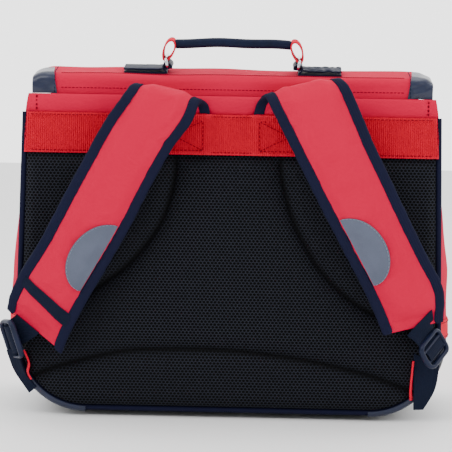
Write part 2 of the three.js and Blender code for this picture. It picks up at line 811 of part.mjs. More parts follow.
// Half the thickness of a strap's padding at a distance from its nearest edge
function padHalf(distance) {
  const rise = THREE.MathUtils.smoothstep(distance, flangeEnd, flangeEnd + FLANGE_SLOPE);
  return THREE.MathUtils.lerp(FLANGE / 2, STRAP_PAD / 2, rise);
}

// Distances from a strap's edge at which its padding has a line of points
function padLines(half) {
  const widestFlange = 0.9;
  const widestSlope = 0.8;
  const flat = Math.min(flangeEnd, half * widestFlange);
  const slope = Math.min(FLANGE_SLOPE, (half - flat) * widestSlope);
  return [0, flat, flat + slope / 2, flat + slope, half];
}

// Height of the flat faces between those lines
function padFace(distance, half) {
  const lines = padLines(half);
  const i = Math.max(lines.findIndex((line) => line >= distance), 1);
  const share = clamp((distance - lines[i - 1]) / (lines[i] - lines[i - 1]));
  return THREE.MathUtils.lerp(padHalf(lines[i - 1]), padHalf(lines[i]), share);
}

function strapPad(course) {
  return loft(course.stations.map(({ run, inset, angle }) => {
    const { middle, across, normal, width } = course.frameAt(run);
    const half = width / 2 - inset;
    const lines = padLines(half);
    const fromEnds = Math.min(course.length - run - STRAP_END_FLANGE, run + flangeEnd);
    const top = [
      ...lines.map((distance) => ({ a: distance - half, distance })),
      ...lines.slice(0, -1).reverse().map((distance) => ({ a: half - distance, distance })),
    ];
    const face = (sign) => top.map(({ a, distance }) => [
      a, sign * padHalf(Math.min(distance * Math.cos(angle), fromEnds)),
    ]);
    return { at: middle, u: across, v: normal, section: [...face(1), ...face(-1).reverse()] };
  }));
}

// Binding tape folded round one edge of a strap, from its root to where its lower end turns round
function strapBinding(course, edge) {
  const inner = FLANGE / 2 + GAP;
  const outer = inner + BINDING_WALL;
  const fold = GAP + BINDING_WALL;
  const section = [
    [BINDING_WIDTH, -outer], [-fold, -outer], [-fold, outer], [BINDING_WIDTH, outer],
    [BINDING_WIDTH, inner], [-GAP, inner], [-GAP, -inner], [BINDING_WIDTH, -inner],
  ];
  const runs = [...course.straight, course.round[0].run];
  return loft(runs.map((run) => {
    const { middle, across, normal, width } = course.frameAt(run);
    const at = middle.addScaledVector(across, (edge * width) / 2);
    return { at, u: across.clone().multiplyScalar(-edge), v: normal, section };
  }));
}

// Reflective patch, a half ellipse whose straight side lies along the inner binding
function strapReflector(course) {
  const { length, width, wall, fromEnd, lift: seat, tip } = REFLECTOR;
  const middleRun = course.length - fromEnd - length / 2;
  const half = (length / 2) * Math.cos(radians(tip));
  return loft(steps(10).map((share) => {
    const offset = THREE.MathUtils.lerp(-half, half, share);
    const { middle, across, normal, width: strapWidth } = course.frameAt(middleRun + offset);
    const reach = width * Math.sqrt(1 - (offset / (length / 2)) ** 2);
    const across0 = flangeEnd + GAP;
    const face = (lift) => steps(5).map((part) => {
      const distance = across0 + reach * part;
      const near = Math.min(distance, strapWidth - distance);
      return [distance - strapWidth / 2, padFace(near, strapWidth / 2) + seat + lift];
    });
    return { at: middle, u: across, v: normal, section: [...face(wall), ...face(0).reverse()] };
  }));
}

// Webbing tape sewn across the padding near its lower end
function strapCrossTape(course) {
  const { width, wall, fromEnd } = CROSS_TAPE;
  return loft(steps(2).map((share) => {
    const run = course.length - fromEnd - width / 2 + width * share;
    const { middle, across, normal, width: strapWidth } = course.frameAt(run);
    const half = strapWidth / 2 - flangeEnd - GAP;
    const face = (lift) => steps(10).map((part) => {
      const a = THREE.MathUtils.lerp(-half, half, part);
      const near = strapWidth / 2 - Math.abs(a);
      return [a, padFace(near, strapWidth / 2) + 2 * GAP + lift];
    });
    return { at: middle, u: across, v: normal, section: [...face(wall), ...face(0).reverse()] };
  }));
}

// Tab, buckle, lower webbing and its tab in the corner seam, below a strap's end
function makeLowerParts(name, course) {
  const { side } = course;
  const end = course.frameAt(course.length);
  const swung = (share) => {
    const angle = radians(TAB_SPLAY[name]) * share;
    return {
      down: end.along.clone().multiplyScalar(Math.cos(angle))
        .addScaledVector(end.across, Math.sin(angle)),
      across: end.across.clone().multiplyScalar(Math.cos(angle))
        .addScaledVector(end.along, -Math.sin(angle)),
    };
  };
  const section = stripSection(TAB.width, TAB.wall);
  const drop = FLANGE / 2 + GAP + TAB.wall / 2;
  const place = ({ middle, across, normal }) => middle.clone()
    .addScaledVector(normal, -drop)
    .addScaledVector(across, TAB_SHIFT[name]);
  const tab = [TAB.overlap, TAB.overlap / 2, 0].map((back) => {
    const frame = course.frameAt(course.length - back);
    return { at: place(frame), u: frame.across, v: frame.across.clone().cross(frame.along), section };
  });
  const firstTurn = 0.25;
  for (const share of [firstTurn, 1]) {
    const { down, across } = swung(share);
    const turn = -side * radians(BUCKLE_TURN[name]) * share;
    const u = across.applyAxisAngle(down, turn);
    const at = tab.at(-1).at.clone().addScaledVector(down, TAB.length / 2);
    tab.push({ at, u, v: u.clone().cross(down), section });
  }
  add(`strap_tab_${name}`, loft(tab), navyBinding);

  const { down } = swung(1);
  const { at: tabEnd, u: buckleAcross } = tab.at(-1);
  const buckleNormal = buckleAcross.clone().cross(down);
  const centre = tabEnd.clone().addScaledVector(down, GAP + BUCKLE.height / 2);
  const buckle = new THREE.ExtrudeGeometry(buckleShape(), {
    depth: BUCKLE.wall, bevelEnabled: false, curveSegments: 4,
  });
  buckle.translate(0, 0, -BUCKLE.wall / 2);
  buckle.applyMatrix4(new THREE.Matrix4().makeBasis(
    buckleAcross, down.clone().negate(), buckleNormal.clone().negate()).setPosition(centre));
  add(`ladder_buckle_${name}`, buckle, navyPlastic);

  const seam = cornerStation(side, LOWER_TAB.angle);
  const seat = PIPE_RADIUS + GAP + SLEEVE_WALL + GAP;
  const tabRoot = onBack(seam.x, seam.z, seat + LOWER_TAB.root / 2);
  const tabTip = onBack(seam.x, seam.z + LOWER_TAB.rise, seat + LOWER_TAB.clear + LOWER_TAB.tip / 2);
  const rise = tabTip.clone().sub(tabRoot).normalize();
  const plane = Y.clone().cross(rise).normalize();
  add(`lower_tab_${name}`, loft([
    { at: tabRoot, u: Y, v: plane, section: stripSection(LOWER_TAB.root, LOWER_TAB.wall) },
    { at: tabTip, u: Y, v: plane, section: stripSection(LOWER_TAB.tip, LOWER_TAB.wall) },
  ]), redWebbing);

  const top = centre.clone().addScaledVector(down, BUCKLE.height / 2 + GAP);
  const landing = tabTip.clone().addScaledVector(Z, GAP);
  const facing = Y.clone().multiplyScalar(Math.sign(buckleAcross.y));
  const [edge, otherEdge] = [-1, 1].map((sign) => {
    const reach = (sign * LOWER_WEBBING.width) / 2;
    const from = top.clone().addScaledVector(buckleAcross, reach);
    const to = landing.clone().addScaledVector(facing, reach);
    return new THREE.CubicBezierCurve3(
      from,
      from.clone().addScaledVector(down, LOWER_WEBBING.slack),
      to.clone().addScaledVector(Z, LOWER_WEBBING.slack),
      to,
    );
  });
  add(`lower_webbing_${name}`, loft(steps(6).map((share) => {
    const a = edge.getPoint(share);
    const u = otherEdge.getPoint(share).sub(a);
    const width = u.length();
    u.normalize();
    const heading = edge.getTangent(share).add(otherEdge.getTangent(share));
    return {
      at: a.addScaledVector(u, width / 2),
      u,
      v: u.clone().cross(heading).normalize(),
      section: stripSection(width, LOWER_WEBBING.wall),
    };
  })), navyCloth);
}

// Ladder buckle: a frame with two slots for the webbing and a bar between them
function buckleShape() {
  const { width, height, rim, slot } = BUCKLE;
  const box = (Type, a, b, low, high) => new Type([
    new THREE.Vector2(a, low), new THREE.Vector2(b, low),
    new THREE.Vector2(b, high), new THREE.Vector2(a, high),
  ]);
  const half = width / 2;
  const shape = box(THREE.Shape, -half, half, -height / 2, height / 2);
  const inner = half - rim;
  const edge = height / 2 - rim;
  shape.holes.push(box(THREE.Path, -inner, inner, edge - slot, edge));
  shape.holes.push(box(THREE.Path, -inner, inner, -edge, -edge + slot));
  return shape;
}

function makeStraps() {
  for (const [name, side] of Object.entries(SIDES)) {
    const course = strapCourse(name, side);
    add(`strap_pad_${name}`, strapPad(course), redCloth);
    add(`strap_inner_binding_${name}`, strapBinding(course, INNER), navyBinding);
    add(`strap_outer_binding_${name}`, strapBinding(course, OUTER), navyBinding);
    add(`strap_reflector_${name}`, strapReflector(course), greyReflector);
    if (side === LEFT) {
      add(`strap_tape_${name}`, strapCrossTape(course), navyCloth);
    }
    makeLowerParts(name, course);
  }
}

makeBody();
makeSleeves();
makeBackPad();
makeBands();
makeFlap();
makeHandle();
makeStraps();

export default model;
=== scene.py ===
# A school ransel looked at from its back: a boxy red satchel with navy trim, an air-mesh back,
# two padded shoulder straps and a carry handle on its flap. Metres, +Z up, the back faces -Y.
import math

import bmesh
import bpy
import numpy as np
from mathutils import Matrix, Vector


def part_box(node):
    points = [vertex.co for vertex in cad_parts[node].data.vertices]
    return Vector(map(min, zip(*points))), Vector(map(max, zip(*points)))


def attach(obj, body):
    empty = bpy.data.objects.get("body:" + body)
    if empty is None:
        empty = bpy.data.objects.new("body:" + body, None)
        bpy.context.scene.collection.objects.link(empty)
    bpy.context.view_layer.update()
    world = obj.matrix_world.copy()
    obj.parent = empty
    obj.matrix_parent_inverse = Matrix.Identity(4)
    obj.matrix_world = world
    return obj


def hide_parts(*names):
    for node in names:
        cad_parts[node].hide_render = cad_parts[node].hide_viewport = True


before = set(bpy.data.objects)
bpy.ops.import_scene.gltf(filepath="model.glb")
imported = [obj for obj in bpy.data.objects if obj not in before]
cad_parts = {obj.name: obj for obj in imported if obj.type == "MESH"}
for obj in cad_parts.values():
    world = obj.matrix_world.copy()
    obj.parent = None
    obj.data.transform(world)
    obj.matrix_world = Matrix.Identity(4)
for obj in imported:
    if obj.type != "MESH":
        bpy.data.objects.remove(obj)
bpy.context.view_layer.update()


# Camera: about 1.5 m from the back of the bag, a little above its middle and hardly turned.
CAMERA_PLACE = (0.028, -1.587, 0.285)
CAMERA_YAW = math.radians(-1.2)
CAMERA_PITCH = math.radians(4.0)
CAMERA_ROLL = math.radians(1.0)
VIEW_ANGLE = math.radians(15.87)

forward = Vector((
    math.sin(CAMERA_YAW) * math.cos(CAMERA_PITCH),
    math.cos(CAMERA_YAW) * math.cos(CAMERA_PITCH),
    -math.sin(CAMERA_PITCH),
))
level = Vector((math.cos(CAMERA_YAW), -math.sin(CAMERA_YAW), 0))
upright = level.cross(forward)
right = level * math.cos(CAMERA_ROLL) + upright * math.sin(CAMERA_ROLL)
up = upright * math.cos(CAMERA_ROLL) - level * math.sin(CAMERA_ROLL)
camera = bpy.data.objects.new("camera", bpy.data.cameras.new("camera"))
camera.data.angle = VIEW_ANGLE
camera.matrix_world = Matrix.Translation(CAMERA_PLACE) @ Matrix((right, up, -forward)).transposed().to_4x4()
bpy.context.scene.collection.objects.link(camera)
bpy.context.scene.camera = camera


# Studio: a matt white floor and soft lights from above, from the left and from the right.
FLOOR_SIZE = 14.0
FLOOR_WHITE = "#f7f7f7"
FRONT_LIGHT = 0.8
BACKGROUND_LIGHT = 2.9
LIGHT_AIM_HEIGHT = 0.18


def linear(hex_colour):
    parts = [int(hex_colour[i:i + 2], 16) / 255 for i in (1, 3, 5)]
    return [c / 12.92 if c <= 0.04045 else ((c + 0.055) / 1.055) ** 2.4 for c in parts] + [1.0]


def add_node(tree, kind, settings=None, links=None):
    """A node with its settings, by input name, input number or property, and its links."""
    made = tree.nodes.new(kind)
    for key, value in (settings or {}).items():
        if isinstance(key, int) or key in made.inputs:
            made.inputs[key].default_value = value
        else:
            setattr(made, key, value)
    for key, socket in (links or {}).items():
        tree.links.new(socket, made.inputs[key])
    return made


def start_material(name, **settings):
    """A material with a Principled shader, its node tree and that shader."""
    material = bpy.data.materials.new(name)
    material.use_nodes = True
    tree = material.node_tree
    shader = tree.nodes["Principled BSDF"]
    for key, value in settings.items():
        shader.inputs[key.replace("_", " ")].default_value = value
    return material, tree, shader


floor_paint, _, floor_shader = start_material("matt_floor_paint", Roughness=0.9)
floor_shader.inputs["Base Color"].default_value = linear(FLOOR_WHITE)
bpy.ops.mesh.primitive_plane_add(size=FLOOR_SIZE)
floor = bpy.context.object
floor.name = "floor"
floor.data.materials.append(floor_paint)

world = bpy.data.worlds.new("studio")
bpy.context.scene.world = world
world.use_nodes = True
sky = world.node_tree.nodes["Background"]
sky.inputs["Color"].default_value = (1, 1, 1, 1)
# The white backdrop behind the bag is brighter than the room in front of it.
direction = add_node(world.node_tree, "ShaderNodeTexCoord")
apart = add_node(world.node_tree, "ShaderNodeSeparateXYZ", {}, {0: direction.outputs["Generated"]})
strength = add_node(
    world.node_tree, "ShaderNodeMapRange",
    {"From Min": -1.0, "From Max": 1.0, "To Min": FRONT_LIGHT, "To Max": BACKGROUND_LIGHT},
    {"Value": apart.outputs["Y"]},
)
world.node_tree.links.new(strength.outputs["Result"], sky.inputs["Strength"])

LIGHT_COLUMNS = ["name", "place", "size", "watts"]
LIGHT_ROWS = [
    ["key", (-1.1, -1.7, 1.9), 1.3, 26],
    ["fill", (1.5, -1.6, 1.1), 1.4, 9],
    ["top", (0.2, 0.1, 2.3), 1.2, 12],
]
for row in LIGHT_ROWS:
    lamp = dict(zip(LIGHT_COLUMNS, row))
    light = bpy.data.lights.new(lamp["name"], "AREA")
    light.size = lamp["size"]
    light.energy = lamp["watts"]
    holder = bpy.data.objects.new(lamp["name"], light)
    holder.location = lamp["place"]
    aim = Vector((0, 0, LIGHT_AIM_HEIGHT)) - holder.location
    holder.rotation_euler = aim.to_track_quat("-Z", "Y").to_euler()
    bpy.context.scene.collection.objects.link(holder)


# Side walls: red polyester cloth over thin foam, cut wide so that they swell out between the back
# seam and the front seam, with an orange-red tape sewn over the join to the navy base.
CLOTH = 0.0024
PIPE_RADIUS = 0.0027
SEAM_INSET = 0.003
SWELL = 0.0115
SWELL_EDGE = 0.036
SWELL_FULL_HEIGHT = 0.14
TAPE_WALL = 0.0012
TOP_TAPER = 0.0025
GAP = 0.0003
SIDE_COLUMNS = 46
SIDE_WAVE = 0.0013
SIDE_WAVE_LENGTH = 0.085
RIM_FADE = 0.03

piping_low, piping_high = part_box("back_piping")
gusset_low, gusset_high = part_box("gusset_right")
panel_low, panel_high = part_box("back_panel")
front_low, front_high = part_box("front_panel")
sleeve_low, sleeve_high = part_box("corner_sleeve_right")
tape_low, tape_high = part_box("side_tape_right")
band_low, band_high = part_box("upper_band")
webbing_low, webbing_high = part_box("back_webbing")

low_half = piping_high.x - PIPE_RADIUS
seam_z = piping_low.z + PIPE_RADIUS
corner_x = sleeve_low.x
corner_radius = low_half - corner_x
corner_z = seam_z + corner_radius
top_half = gusset_low.x + CLOTH
top_z = panel_high.z
rim_z = gusset_high.z
back_face = panel_low.y
panel_wall = panel_high.y - panel_low.y
lean = (front_high.y - front_low.y - panel_wall) / (front_high.z - front_low.z)


def ease(value):
    share = np.clip(value, 0, 1)
    return share * share * (3 - 2 * share)


def half_at(z):
    share = np.clip((z - corner_z) / (top_z - corner_z), 0, None)
    tapered = TOP_TAPER * np.clip((z - webbing_high.z) / (top_z - webbing_high.z), 0, 1)
    return low_half + (top_half - low_half) * share - tapered


def front_at(z):
    """Outer face of the front panel."""
    return front_high.y - lean * (z - front_low.z)


def folds(u, v, size, seed, count=9):
    """Soft uneven waves, from about -1 to 1, with a length of about size."""
    random = np.random.RandomState(seed)
    total = np.zeros(np.broadcast(u, v).shape)
    for _ in range(count):
        angle = random.uniform(0, math.pi)
        length = size * random.uniform(0.6, 1.7)
        phase = random.uniform(0, 2 * math.pi)
        total += np.sin(2 * math.pi * (u * math.cos(angle) + v * math.sin(angle)) / length + phase)
    return total / math.sqrt(count * 2)


def new_piece(name, points, faces, face_uvs):
    """Object at the origin with its shape in the mesh, smooth but for its edges, UVs in metres."""
    mesh = bpy.data.meshes.new(name)
    mesh.from_pydata([tuple(p) for p in points], [], [tuple(f) for f in faces])
    layer = mesh.uv_layers.new(name="cloth")
    flat = [value for face in face_uvs for corner in face for value in corner]
    layer.data.foreach_set("uv", flat)
    mesh.shade_smooth()
    mesh.set_sharp_from_angle(angle=math.radians(50))
    piece = bpy.data.objects.new(name, mesh)
    bpy.context.scene.collection.objects.link(piece)
    return piece


def run_lengths(line):
    """Distance run along a row of points, from 0."""
    return np.concatenate([[0], np.cumsum(np.linalg.norm(np.diff(line, axis=0), axis=1))])


def unit(vectors):
    return vectors / np.maximum(np.linalg.norm(vectors, axis=-1, keepdims=True), 1e-12)


def surface_normals(grid):
    return unit(np.cross(np.gradient(grid, axis=1), np.gradient(grid, axis=0)))


def two_faced(name, face, under, u, v, flipped=False):
    """Closed piece between a grid of points and the grid under it, with u and v along its sides."""
    rows, columns = face.shape[:2]
    behind = rows * columns
    faces, uvs = [], []
    for i in range(rows - 1):
        for j in range(columns - 1):
            a = i * columns + j
            b = a + columns
            corners = [(u[j], v[i]), (u[j + 1], v[i]), (u[j + 1], v[i + 1]), (u[j], v[i + 1])]
            faces += [(a, a + 1, b + 1, b), (behind + a, behind + b, behind + b + 1, behind + a + 1)]
            uvs += [corners, [corners[0], corners[3], corners[2], corners[1]]]
    rim = list(range(columns))
    rim += [i * columns + columns - 1 for i in range(1, rows)]
    rim += [(rows - 1) * columns + j for j in range(columns - 2, -1, -1)]
    rim += [i * columns for i in range(rows - 2, 0, -1)]
    for a, b in zip(rim, rim[1:] + rim[:1]):
        place = [(u[a % columns], v[a // columns]), (u[b % columns], v[b // columns])]
        faces.append((a, behind + a, behind + b, b))
        uvs.append([place[0], place[0], place[1], place[1]])
    if flipped:
        faces = [corners[::-1] for corners in faces]
        uvs = [corners[::-1] for corners in uvs]
    points = np.concatenate([face.reshape(-1, 3), under.reshape(-1, 3)])
    return new_piece(name, points, faces, uvs)


def cloth_wall(name, grid, wall):
    """Closed wall whose outer face is a grid of points and which is wall thick behind it."""
    rows, columns = grid.shape[:2]
    under = grid - surface_normals(grid) * wall
    return two_faced(name, grid, under, run_lengths(grid[rows // 2]), run_lengths(grid[:, columns // 2]))


def dress(piece, material, slot, *nodes):
    """Gives a finished piece its material and body, and hides the CAD nodes that it stands for."""
    piece.data.materials.clear()
    piece.data.materials.append(material)
    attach(piece, "root")
    if nodes:
        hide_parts(*nodes)
    return piece


WAVE_PERIOD = 0.314159


def two_tone(tree, shader, share, dark, light):
    """Gives a shader a base colour that lies between a dark and a light one."""
    shade = add_node(
        tree, "ShaderNodeMix", {"data_type": "RGBA", 6: linear(dark), 7: linear(light)}, {0: share})
    tree.links.new(shade.outputs[2], shader.inputs["Base Color"])


def raised(tree, shader, height, strength, distance):
    """Fine relief on a shader, from a height."""
    relief = add_node(
        tree, "ShaderNodeBump", {"Strength": strength, "Distance": distance}, {"Height": height})
    tree.links.new(relief.outputs[0], shader.inputs["Normal"])
    return relief


def product(tree, first, second):
    return add_node(tree, "ShaderNodeMath", {"operation": "MULTIPLY"}, {0: first, 1: second}).outputs[0]


def noise_at(tree, place, scale, detail, **settings):
    return add_node(
        tree, "ShaderNodeTexNoise", {"Scale": scale, "Detail": detail, **settings},
        {"Vector": place}).outputs[0]


def weave_height(tree, coordinates, pitch, plies=1.0):
    """Height of a plain weave: two sets of threads that cross, pitch metres apart."""
    threads = []
    for bands, apart in (("X", pitch), ("Y", pitch * plies)):
        settings = {"bands_direction": bands, "Scale": WAVE_PERIOD / apart, "Distortion": 0.6, "Detail": 1.0}
        threads.append(add_node(tree, "ShaderNodeTexWave", settings, {"Vector": coordinates}).outputs[1])
    return product(tree, *threads)


def cloth_material(name, light, dark, pitch, bump, patch, roughness=0.85, sheen=0.25, plies=1.0):
    """Woven cloth: threads that cross, faint patches of wear and a soft sheen."""
    material, tree, shader = start_material(name, Roughness=roughness)
    shader.inputs["Sheen Weight"].default_value = sheen
    shader.inputs["Sheen Roughness"].default_value = 0.5
    shader.inputs["Sheen Tint"].default_value = linear(light)
    shader.inputs["Specular IOR Level"].default_value = 0.12
    place = add_node(tree, "ShaderNodeTexCoord").outputs["UV"]
    wear = noise_at(tree, place, 1 / patch, 4.0, Roughness=0.6)
    grain = noise_at(tree, place, 0.35 / pitch, 2.0)
    spread = add_node(tree, "ShaderNodeMath", {"operation": "MULTIPLY_ADD", 1: 0.45, 2: 0.0}, {0: grain})
    share = add_node(
        tree, "ShaderNodeMath", {"operation": "MULTIPLY_ADD", 1: 0.55}, {0: wear, 2: spread.outputs[0]})
    two_tone(tree, shader, share.outputs[0], dark, light)
    raised(tree, shader, weave_height(tree, place, pitch, plies), 0.6, bump)
    return material


# Polyester, woven of 0.9 mm yarns: matt, and a little uneven in colour where it is stretched.
red_polyester = cloth_material(
    "woven_red_polyester", "#c8013a", "#b80033", pitch=0.0009, bump=0.0002, patch=0.03, sheen=0.04)
# Ribbed tape with a warmer red than the cloth, woven of thick yarns.
orange_red_tape = cloth_material(
    "woven_orange_red_tape", "#de1036", "#b60827", pitch=0.0016, bump=0.0005, patch=0.02, sheen=0.04)

sides = {"left": -1, "right": 1}
side_start = back_face + SEAM_INSET


def swell_at(z, distance):
    rise = np.clip((top_z - z) / (top_z - SWELL_FULL_HEIGHT), 0, 1)
    return SWELL * rise * np.sin(math.pi / 2 * np.clip(distance / SWELL_EDGE, 0, 1))


def side_grid(side, low, high, rows, offset=0.0, seed=3):
    """Outer face of a side wall between two heights, from the back seam to the front seam."""
    z = np.linspace(low, high, rows)[:, None]
    share = np.linspace(0, 1, SIDE_COLUMNS)[None, :]
    start = side_start
    end = front_at(z) - SEAM_INSET
    y = start + (end - start) * share
    distance = np.minimum(y - start, end - y)
    slack = ease(distance / SWELL_EDGE) * ease((rim_z - z) / RIM_FADE)
    wave = SIDE_WAVE * folds(y, z, SIDE_WAVE_LENGTH, seed + side) * slack
    x = side * (half_at(z) + swell_at(z, distance) + wave + offset)
    grid = np.stack([x, y, np.broadcast_to(z, x.shape)], axis=2)
    return grid if side > 0 else grid[:, ::-1]


for word, side in sides.items():
    grid = side_grid(side, gusset_low.z, rim_z, 84)
    wall = dress(cloth_wall(f"side_wall_{word}", grid, CLOTH), red_polyester, "red_cloth", f"gusset_{word}")
    tape_grid = side_grid(side, tape_low.z, tape_high.z, 10, GAP + TAPE_WALL)
    tape = cloth_wall(f"join_tape_{word}", tape_grid, TAPE_WALL)
    dress(tape, orange_red_tape, "red_webbing", f"side_tape_{word}")


# Base: dark navy coated cloth with a fine ribbed grain, one length that runs under the bag and up
# both sides as far as the tape, cut in a curve at the corners.
BASE_STEPS = 150


def seam_line(top, count):
    """Places on the seam from the top left, round the bottom, to the top right, and the
    direction out of the bag there."""
    arc = corner_radius * math.pi / 2
    height = top - corner_z
    runs = np.linspace(0, 2 * (height + arc) + 2 * corner_x, count)
    rows = []
    for run in runs:
        side = -1 if run < runs[-1] / 2 else 1
        rest = min(run, runs[-1] - run)
        if rest < height:
            z = top - rest
            rows.append((side * half_at(z), z, side, 0.0))
        elif rest < height + arc:
            angle = math.pi / 2 - (rest - height) / corner_radius
            nx, nz = side * math.sin(angle), -math.cos(angle)
            rows.append((side * corner_x + corner_radius * nx, corner_z + corner_radius * nz, nx, nz))
        else:
            rows.append((side * (corner_x - (rest - height - arc)), seam_z, 0.0, -1.0))
    return np.array(rows)


# Coated cloth: threads under a thin dark film, so it is darker and a little glossier.
navy_base_cloth = cloth_material(
    "coated_navy_cloth", "#141822", "#0c0f17", pitch=0.0022, bump=0.0006, patch=0.02,
    roughness=0.6, sheen=0.03)

base_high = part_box("base_panel")[1].z
base_drop = seam_z
seam = seam_line(base_high, BASE_STEPS)
share = np.linspace(0, 1, SIDE_COLUMNS)[None, :]
end = (front_at(seam[:, 1]) - SEAM_INSET)[:, None]
y = side_start + (end - side_start) * share
distance = np.minimum(y - side_start, end - y)
bulge = SWELL + (base_drop - SWELL) * np.abs(seam[:, 3:4]) ** 2
swell = bulge * np.sin(math.pi / 2 * np.clip(distance / SWELL_EDGE, 0, 1))
base_grid = np.stack([
    seam[:, 0:1] + seam[:, 2:3] * swell,
    y,
    seam[:, 1:2] + seam[:, 3:4] * swell,
], axis=2)
base = dress(cloth_wall("base_wrap", base_grid, CLOTH), navy_base_cloth, "navy_base_cloth", "base_panel")


# Back and front panels: red cloth over a stiff board, with round lower corners. The piped seams
# hold them to the side walls and the base.
PANEL_WAVE = 0.0012
PANEL_FADE = 0.05


def panel_grid(face_at, low, high, inset, rows=70, columns=60):
    radius = corner_radius - inset
    z = low + (high - low) * np.linspace(0, 1, rows) ** 1.5
    curve = np.sqrt(np.clip(radius ** 2 - (corner_z - z) ** 2, 0, None))
    half = np.where(z < corner_z, corner_x + curve, half_at(z) - inset)
    x = half[:, None] * np.linspace(-1, 1, columns)[None, :]
    heights = np.broadcast_to(z[:, None], x.shape)
    return np.stack([x, face_at(x, heights), heights], axis=2)


back_grid = panel_grid(lambda x, z: np.full(x.shape, back_face), panel_low.z, top_z, SEAM_INSET)
back_board = cloth_wall("back_board", back_grid, panel_wall)
dress(back_board, red_polyester, "red_cloth", "back_panel")


def front_face(x, z):
    edge = ease((half_at(z) - np.abs(x)) / PANEL_FADE)
    edge = edge * ease((z - seam_z) / PANEL_FADE) * ease((rim_z - z) / PANEL_FADE)
    return front_at(z) + PANEL_WAVE * folds(x, z, 0.11, 21) * edge


front_grid = panel_grid(front_face, front_low.z, rim_z, SEAM_INSET)[:, ::-1]
front_board = cloth_wall("front_board", front_grid, panel_wall)
dress(front_board, red_polyester, "red_cloth", "front_panel")


# Piping: navy grosgrain tape folded round a cord and sewn into the back and front seams. At the
# two lower corners of the back a glossy navy sleeve covers it against wear.
def swept(name, at, u, v, section, ring=False):
    """Closed solid with one section, or one for each place, along a row of places."""
    sections = np.broadcast_to(section, (len(at),) + np.shape(section)[-2:])
    count = sections.shape[1]
    points = at[:, None] + u[:, None] * sections[:, :, 0:1] + v[:, None] * sections[:, :, 1:2]
    points = points.reshape(-1, 3)
    along = run_lengths(at)
    around = run_lengths(np.concatenate([sections[0], sections[0][:1]]))
    faces, uvs = [], []
    last = len(at) if ring else len(at) - 1
    for i in range(last):
        k = (i + 1) % len(at)
        far = along[i + 1] if i + 1 < len(at) else along[i] + (along[1] - along[0])
        for j in range(count):
            m = (j + 1) % count
            faces.append((i * count + j, i * count + m, k * count + m, k * count + j))
            uvs.append([
                (along[i], around[j]), (along[i], around[j + 1]),
                (far, around[j + 1]), (far, around[j]),
            ])
    if not ring:
        last_ring = tuple((len(at) - 1) * count + j for j in range(count))
        faces += [tuple(range(count))[::-1], last_ring]
        uvs += [[(0.0, 0.0)] * count, [(0.0, 0.0)] * count]
    centre = points.reshape(len(at), count, 3).mean(axis=1)
    first = np.cross(points[count] - points[0], points[1] - points[0])
    if np.dot(first, points[0] - centre[0]) > 0:
        faces = [face[::-1] for face in faces]
        uvs = [face[::-1] for face in uvs]
    return new_piece(name, points, faces, uvs)


def circle(radius, sides=12, squash=1.0):
    angle = np.linspace(0, 2 * math.pi, sides, endpoint=False)
    return np.stack([radius * np.cos(angle), squash * radius * np.sin(angle)], axis=1)


# Grosgrain: polyester tape with fine cross ribs and a dull navy shade.
navy_grosgrain = cloth_material(
    "navy_grosgrain_tape", "#12152f", "#0c0e22", pitch=0.0011, bump=0.00035, patch=0.015,
    sheen=0.05, plies=2.0)


def seam_sweep(name, seam, face, section):
    """Solid with one section along a seam, at the depth that face gives for each height."""
    at = np.stack([seam[:, 0], face(seam[:, 1]), seam[:, 1]], axis=1)
    out = np.stack([seam[:, 2], np.zeros(len(seam)), seam[:, 3]], axis=1)
    away = np.tile([0.0, -1.0, 0.0], (len(seam), 1))
    return swept(name, at, out, away, section)


back_seam = seam_line(piping_high.z, 220)
piping = seam_sweep("piping_back", back_seam, lambda z: np.full(z.shape, back_face), circle(PIPE_RADIUS))
dress(piping, navy_grosgrain, "navy_binding", "back_piping")
front_seam = seam_line(rim_z, 220)
piping = seam_sweep("piping_front", front_seam, front_at, circle(PIPE_RADIUS))
dress(piping, navy_grosgrain, "navy_binding", "front_piping")

SLEEVE_WALL = 0.0012
SLEEVE_SPAN = math.radians(57)
SLEEVE_FROM = math.radians(-30)
SLEEVE_TO = math.radians(110)


def patent_material(name, light, dark, bump, crease):
    """Coated cloth with a clear gloss: small creases break up its highlights."""
    material, tree, shader = start_material(name, Roughness=0.36)
    shader.inputs["Specular IOR Level"].default_value = 0.3
    shader.inputs["Coat Weight"].default_value = 0.22
    shader.inputs["Coat Roughness"].default_value = 0.16
    place = add_node(tree, "ShaderNodeTexCoord").outputs["Object"]
    noise = noise_at(tree, place, 1 / crease, 3.0, Distortion=0.5)
    two_tone(tree, shader, noise, dark, light)
    raised(tree, shader, noise, 0.5, bump)
    return material


# Patent-coated cloth, calendered: dark navy under a pale, mirror-like sheen.
navy_patent = patent_material("navy_patent_cloth", "#18213e", "#0e1529", bump=0.0016, crease=0.010)

angle = np.linspace(SLEEVE_FROM, SLEEVE_TO, 14)
outer = (PIPE_RADIUS + GAP + SLEEVE_WALL) * np.stack([np.cos(angle), np.sin(angle)], axis=1)
inner = (PIPE_RADIUS + GAP) * np.stack([np.cos(angle), np.sin(angle)], axis=1)[::-1]
sleeve_section = np.concatenate([outer, inner])
for word, side in sides.items():
    turn = np.linspace(0, SLEEVE_SPAN, 40)
    sleeve_seam = np.stack([
        side * (corner_x + corner_radius * np.sin(turn)),
        corner_z - corner_radius * np.cos(turn),
        side * np.sin(turn),
        -np.cos(turn),
    ], axis=1)
    sleeve = seam_sweep(
        f"sleeve_{word}", sleeve_seam, lambda z: np.full(z.shape, back_face), sleeve_section)
    dress(sleeve, navy_patent, "navy_patent", f"corner_sleeve_{word}")


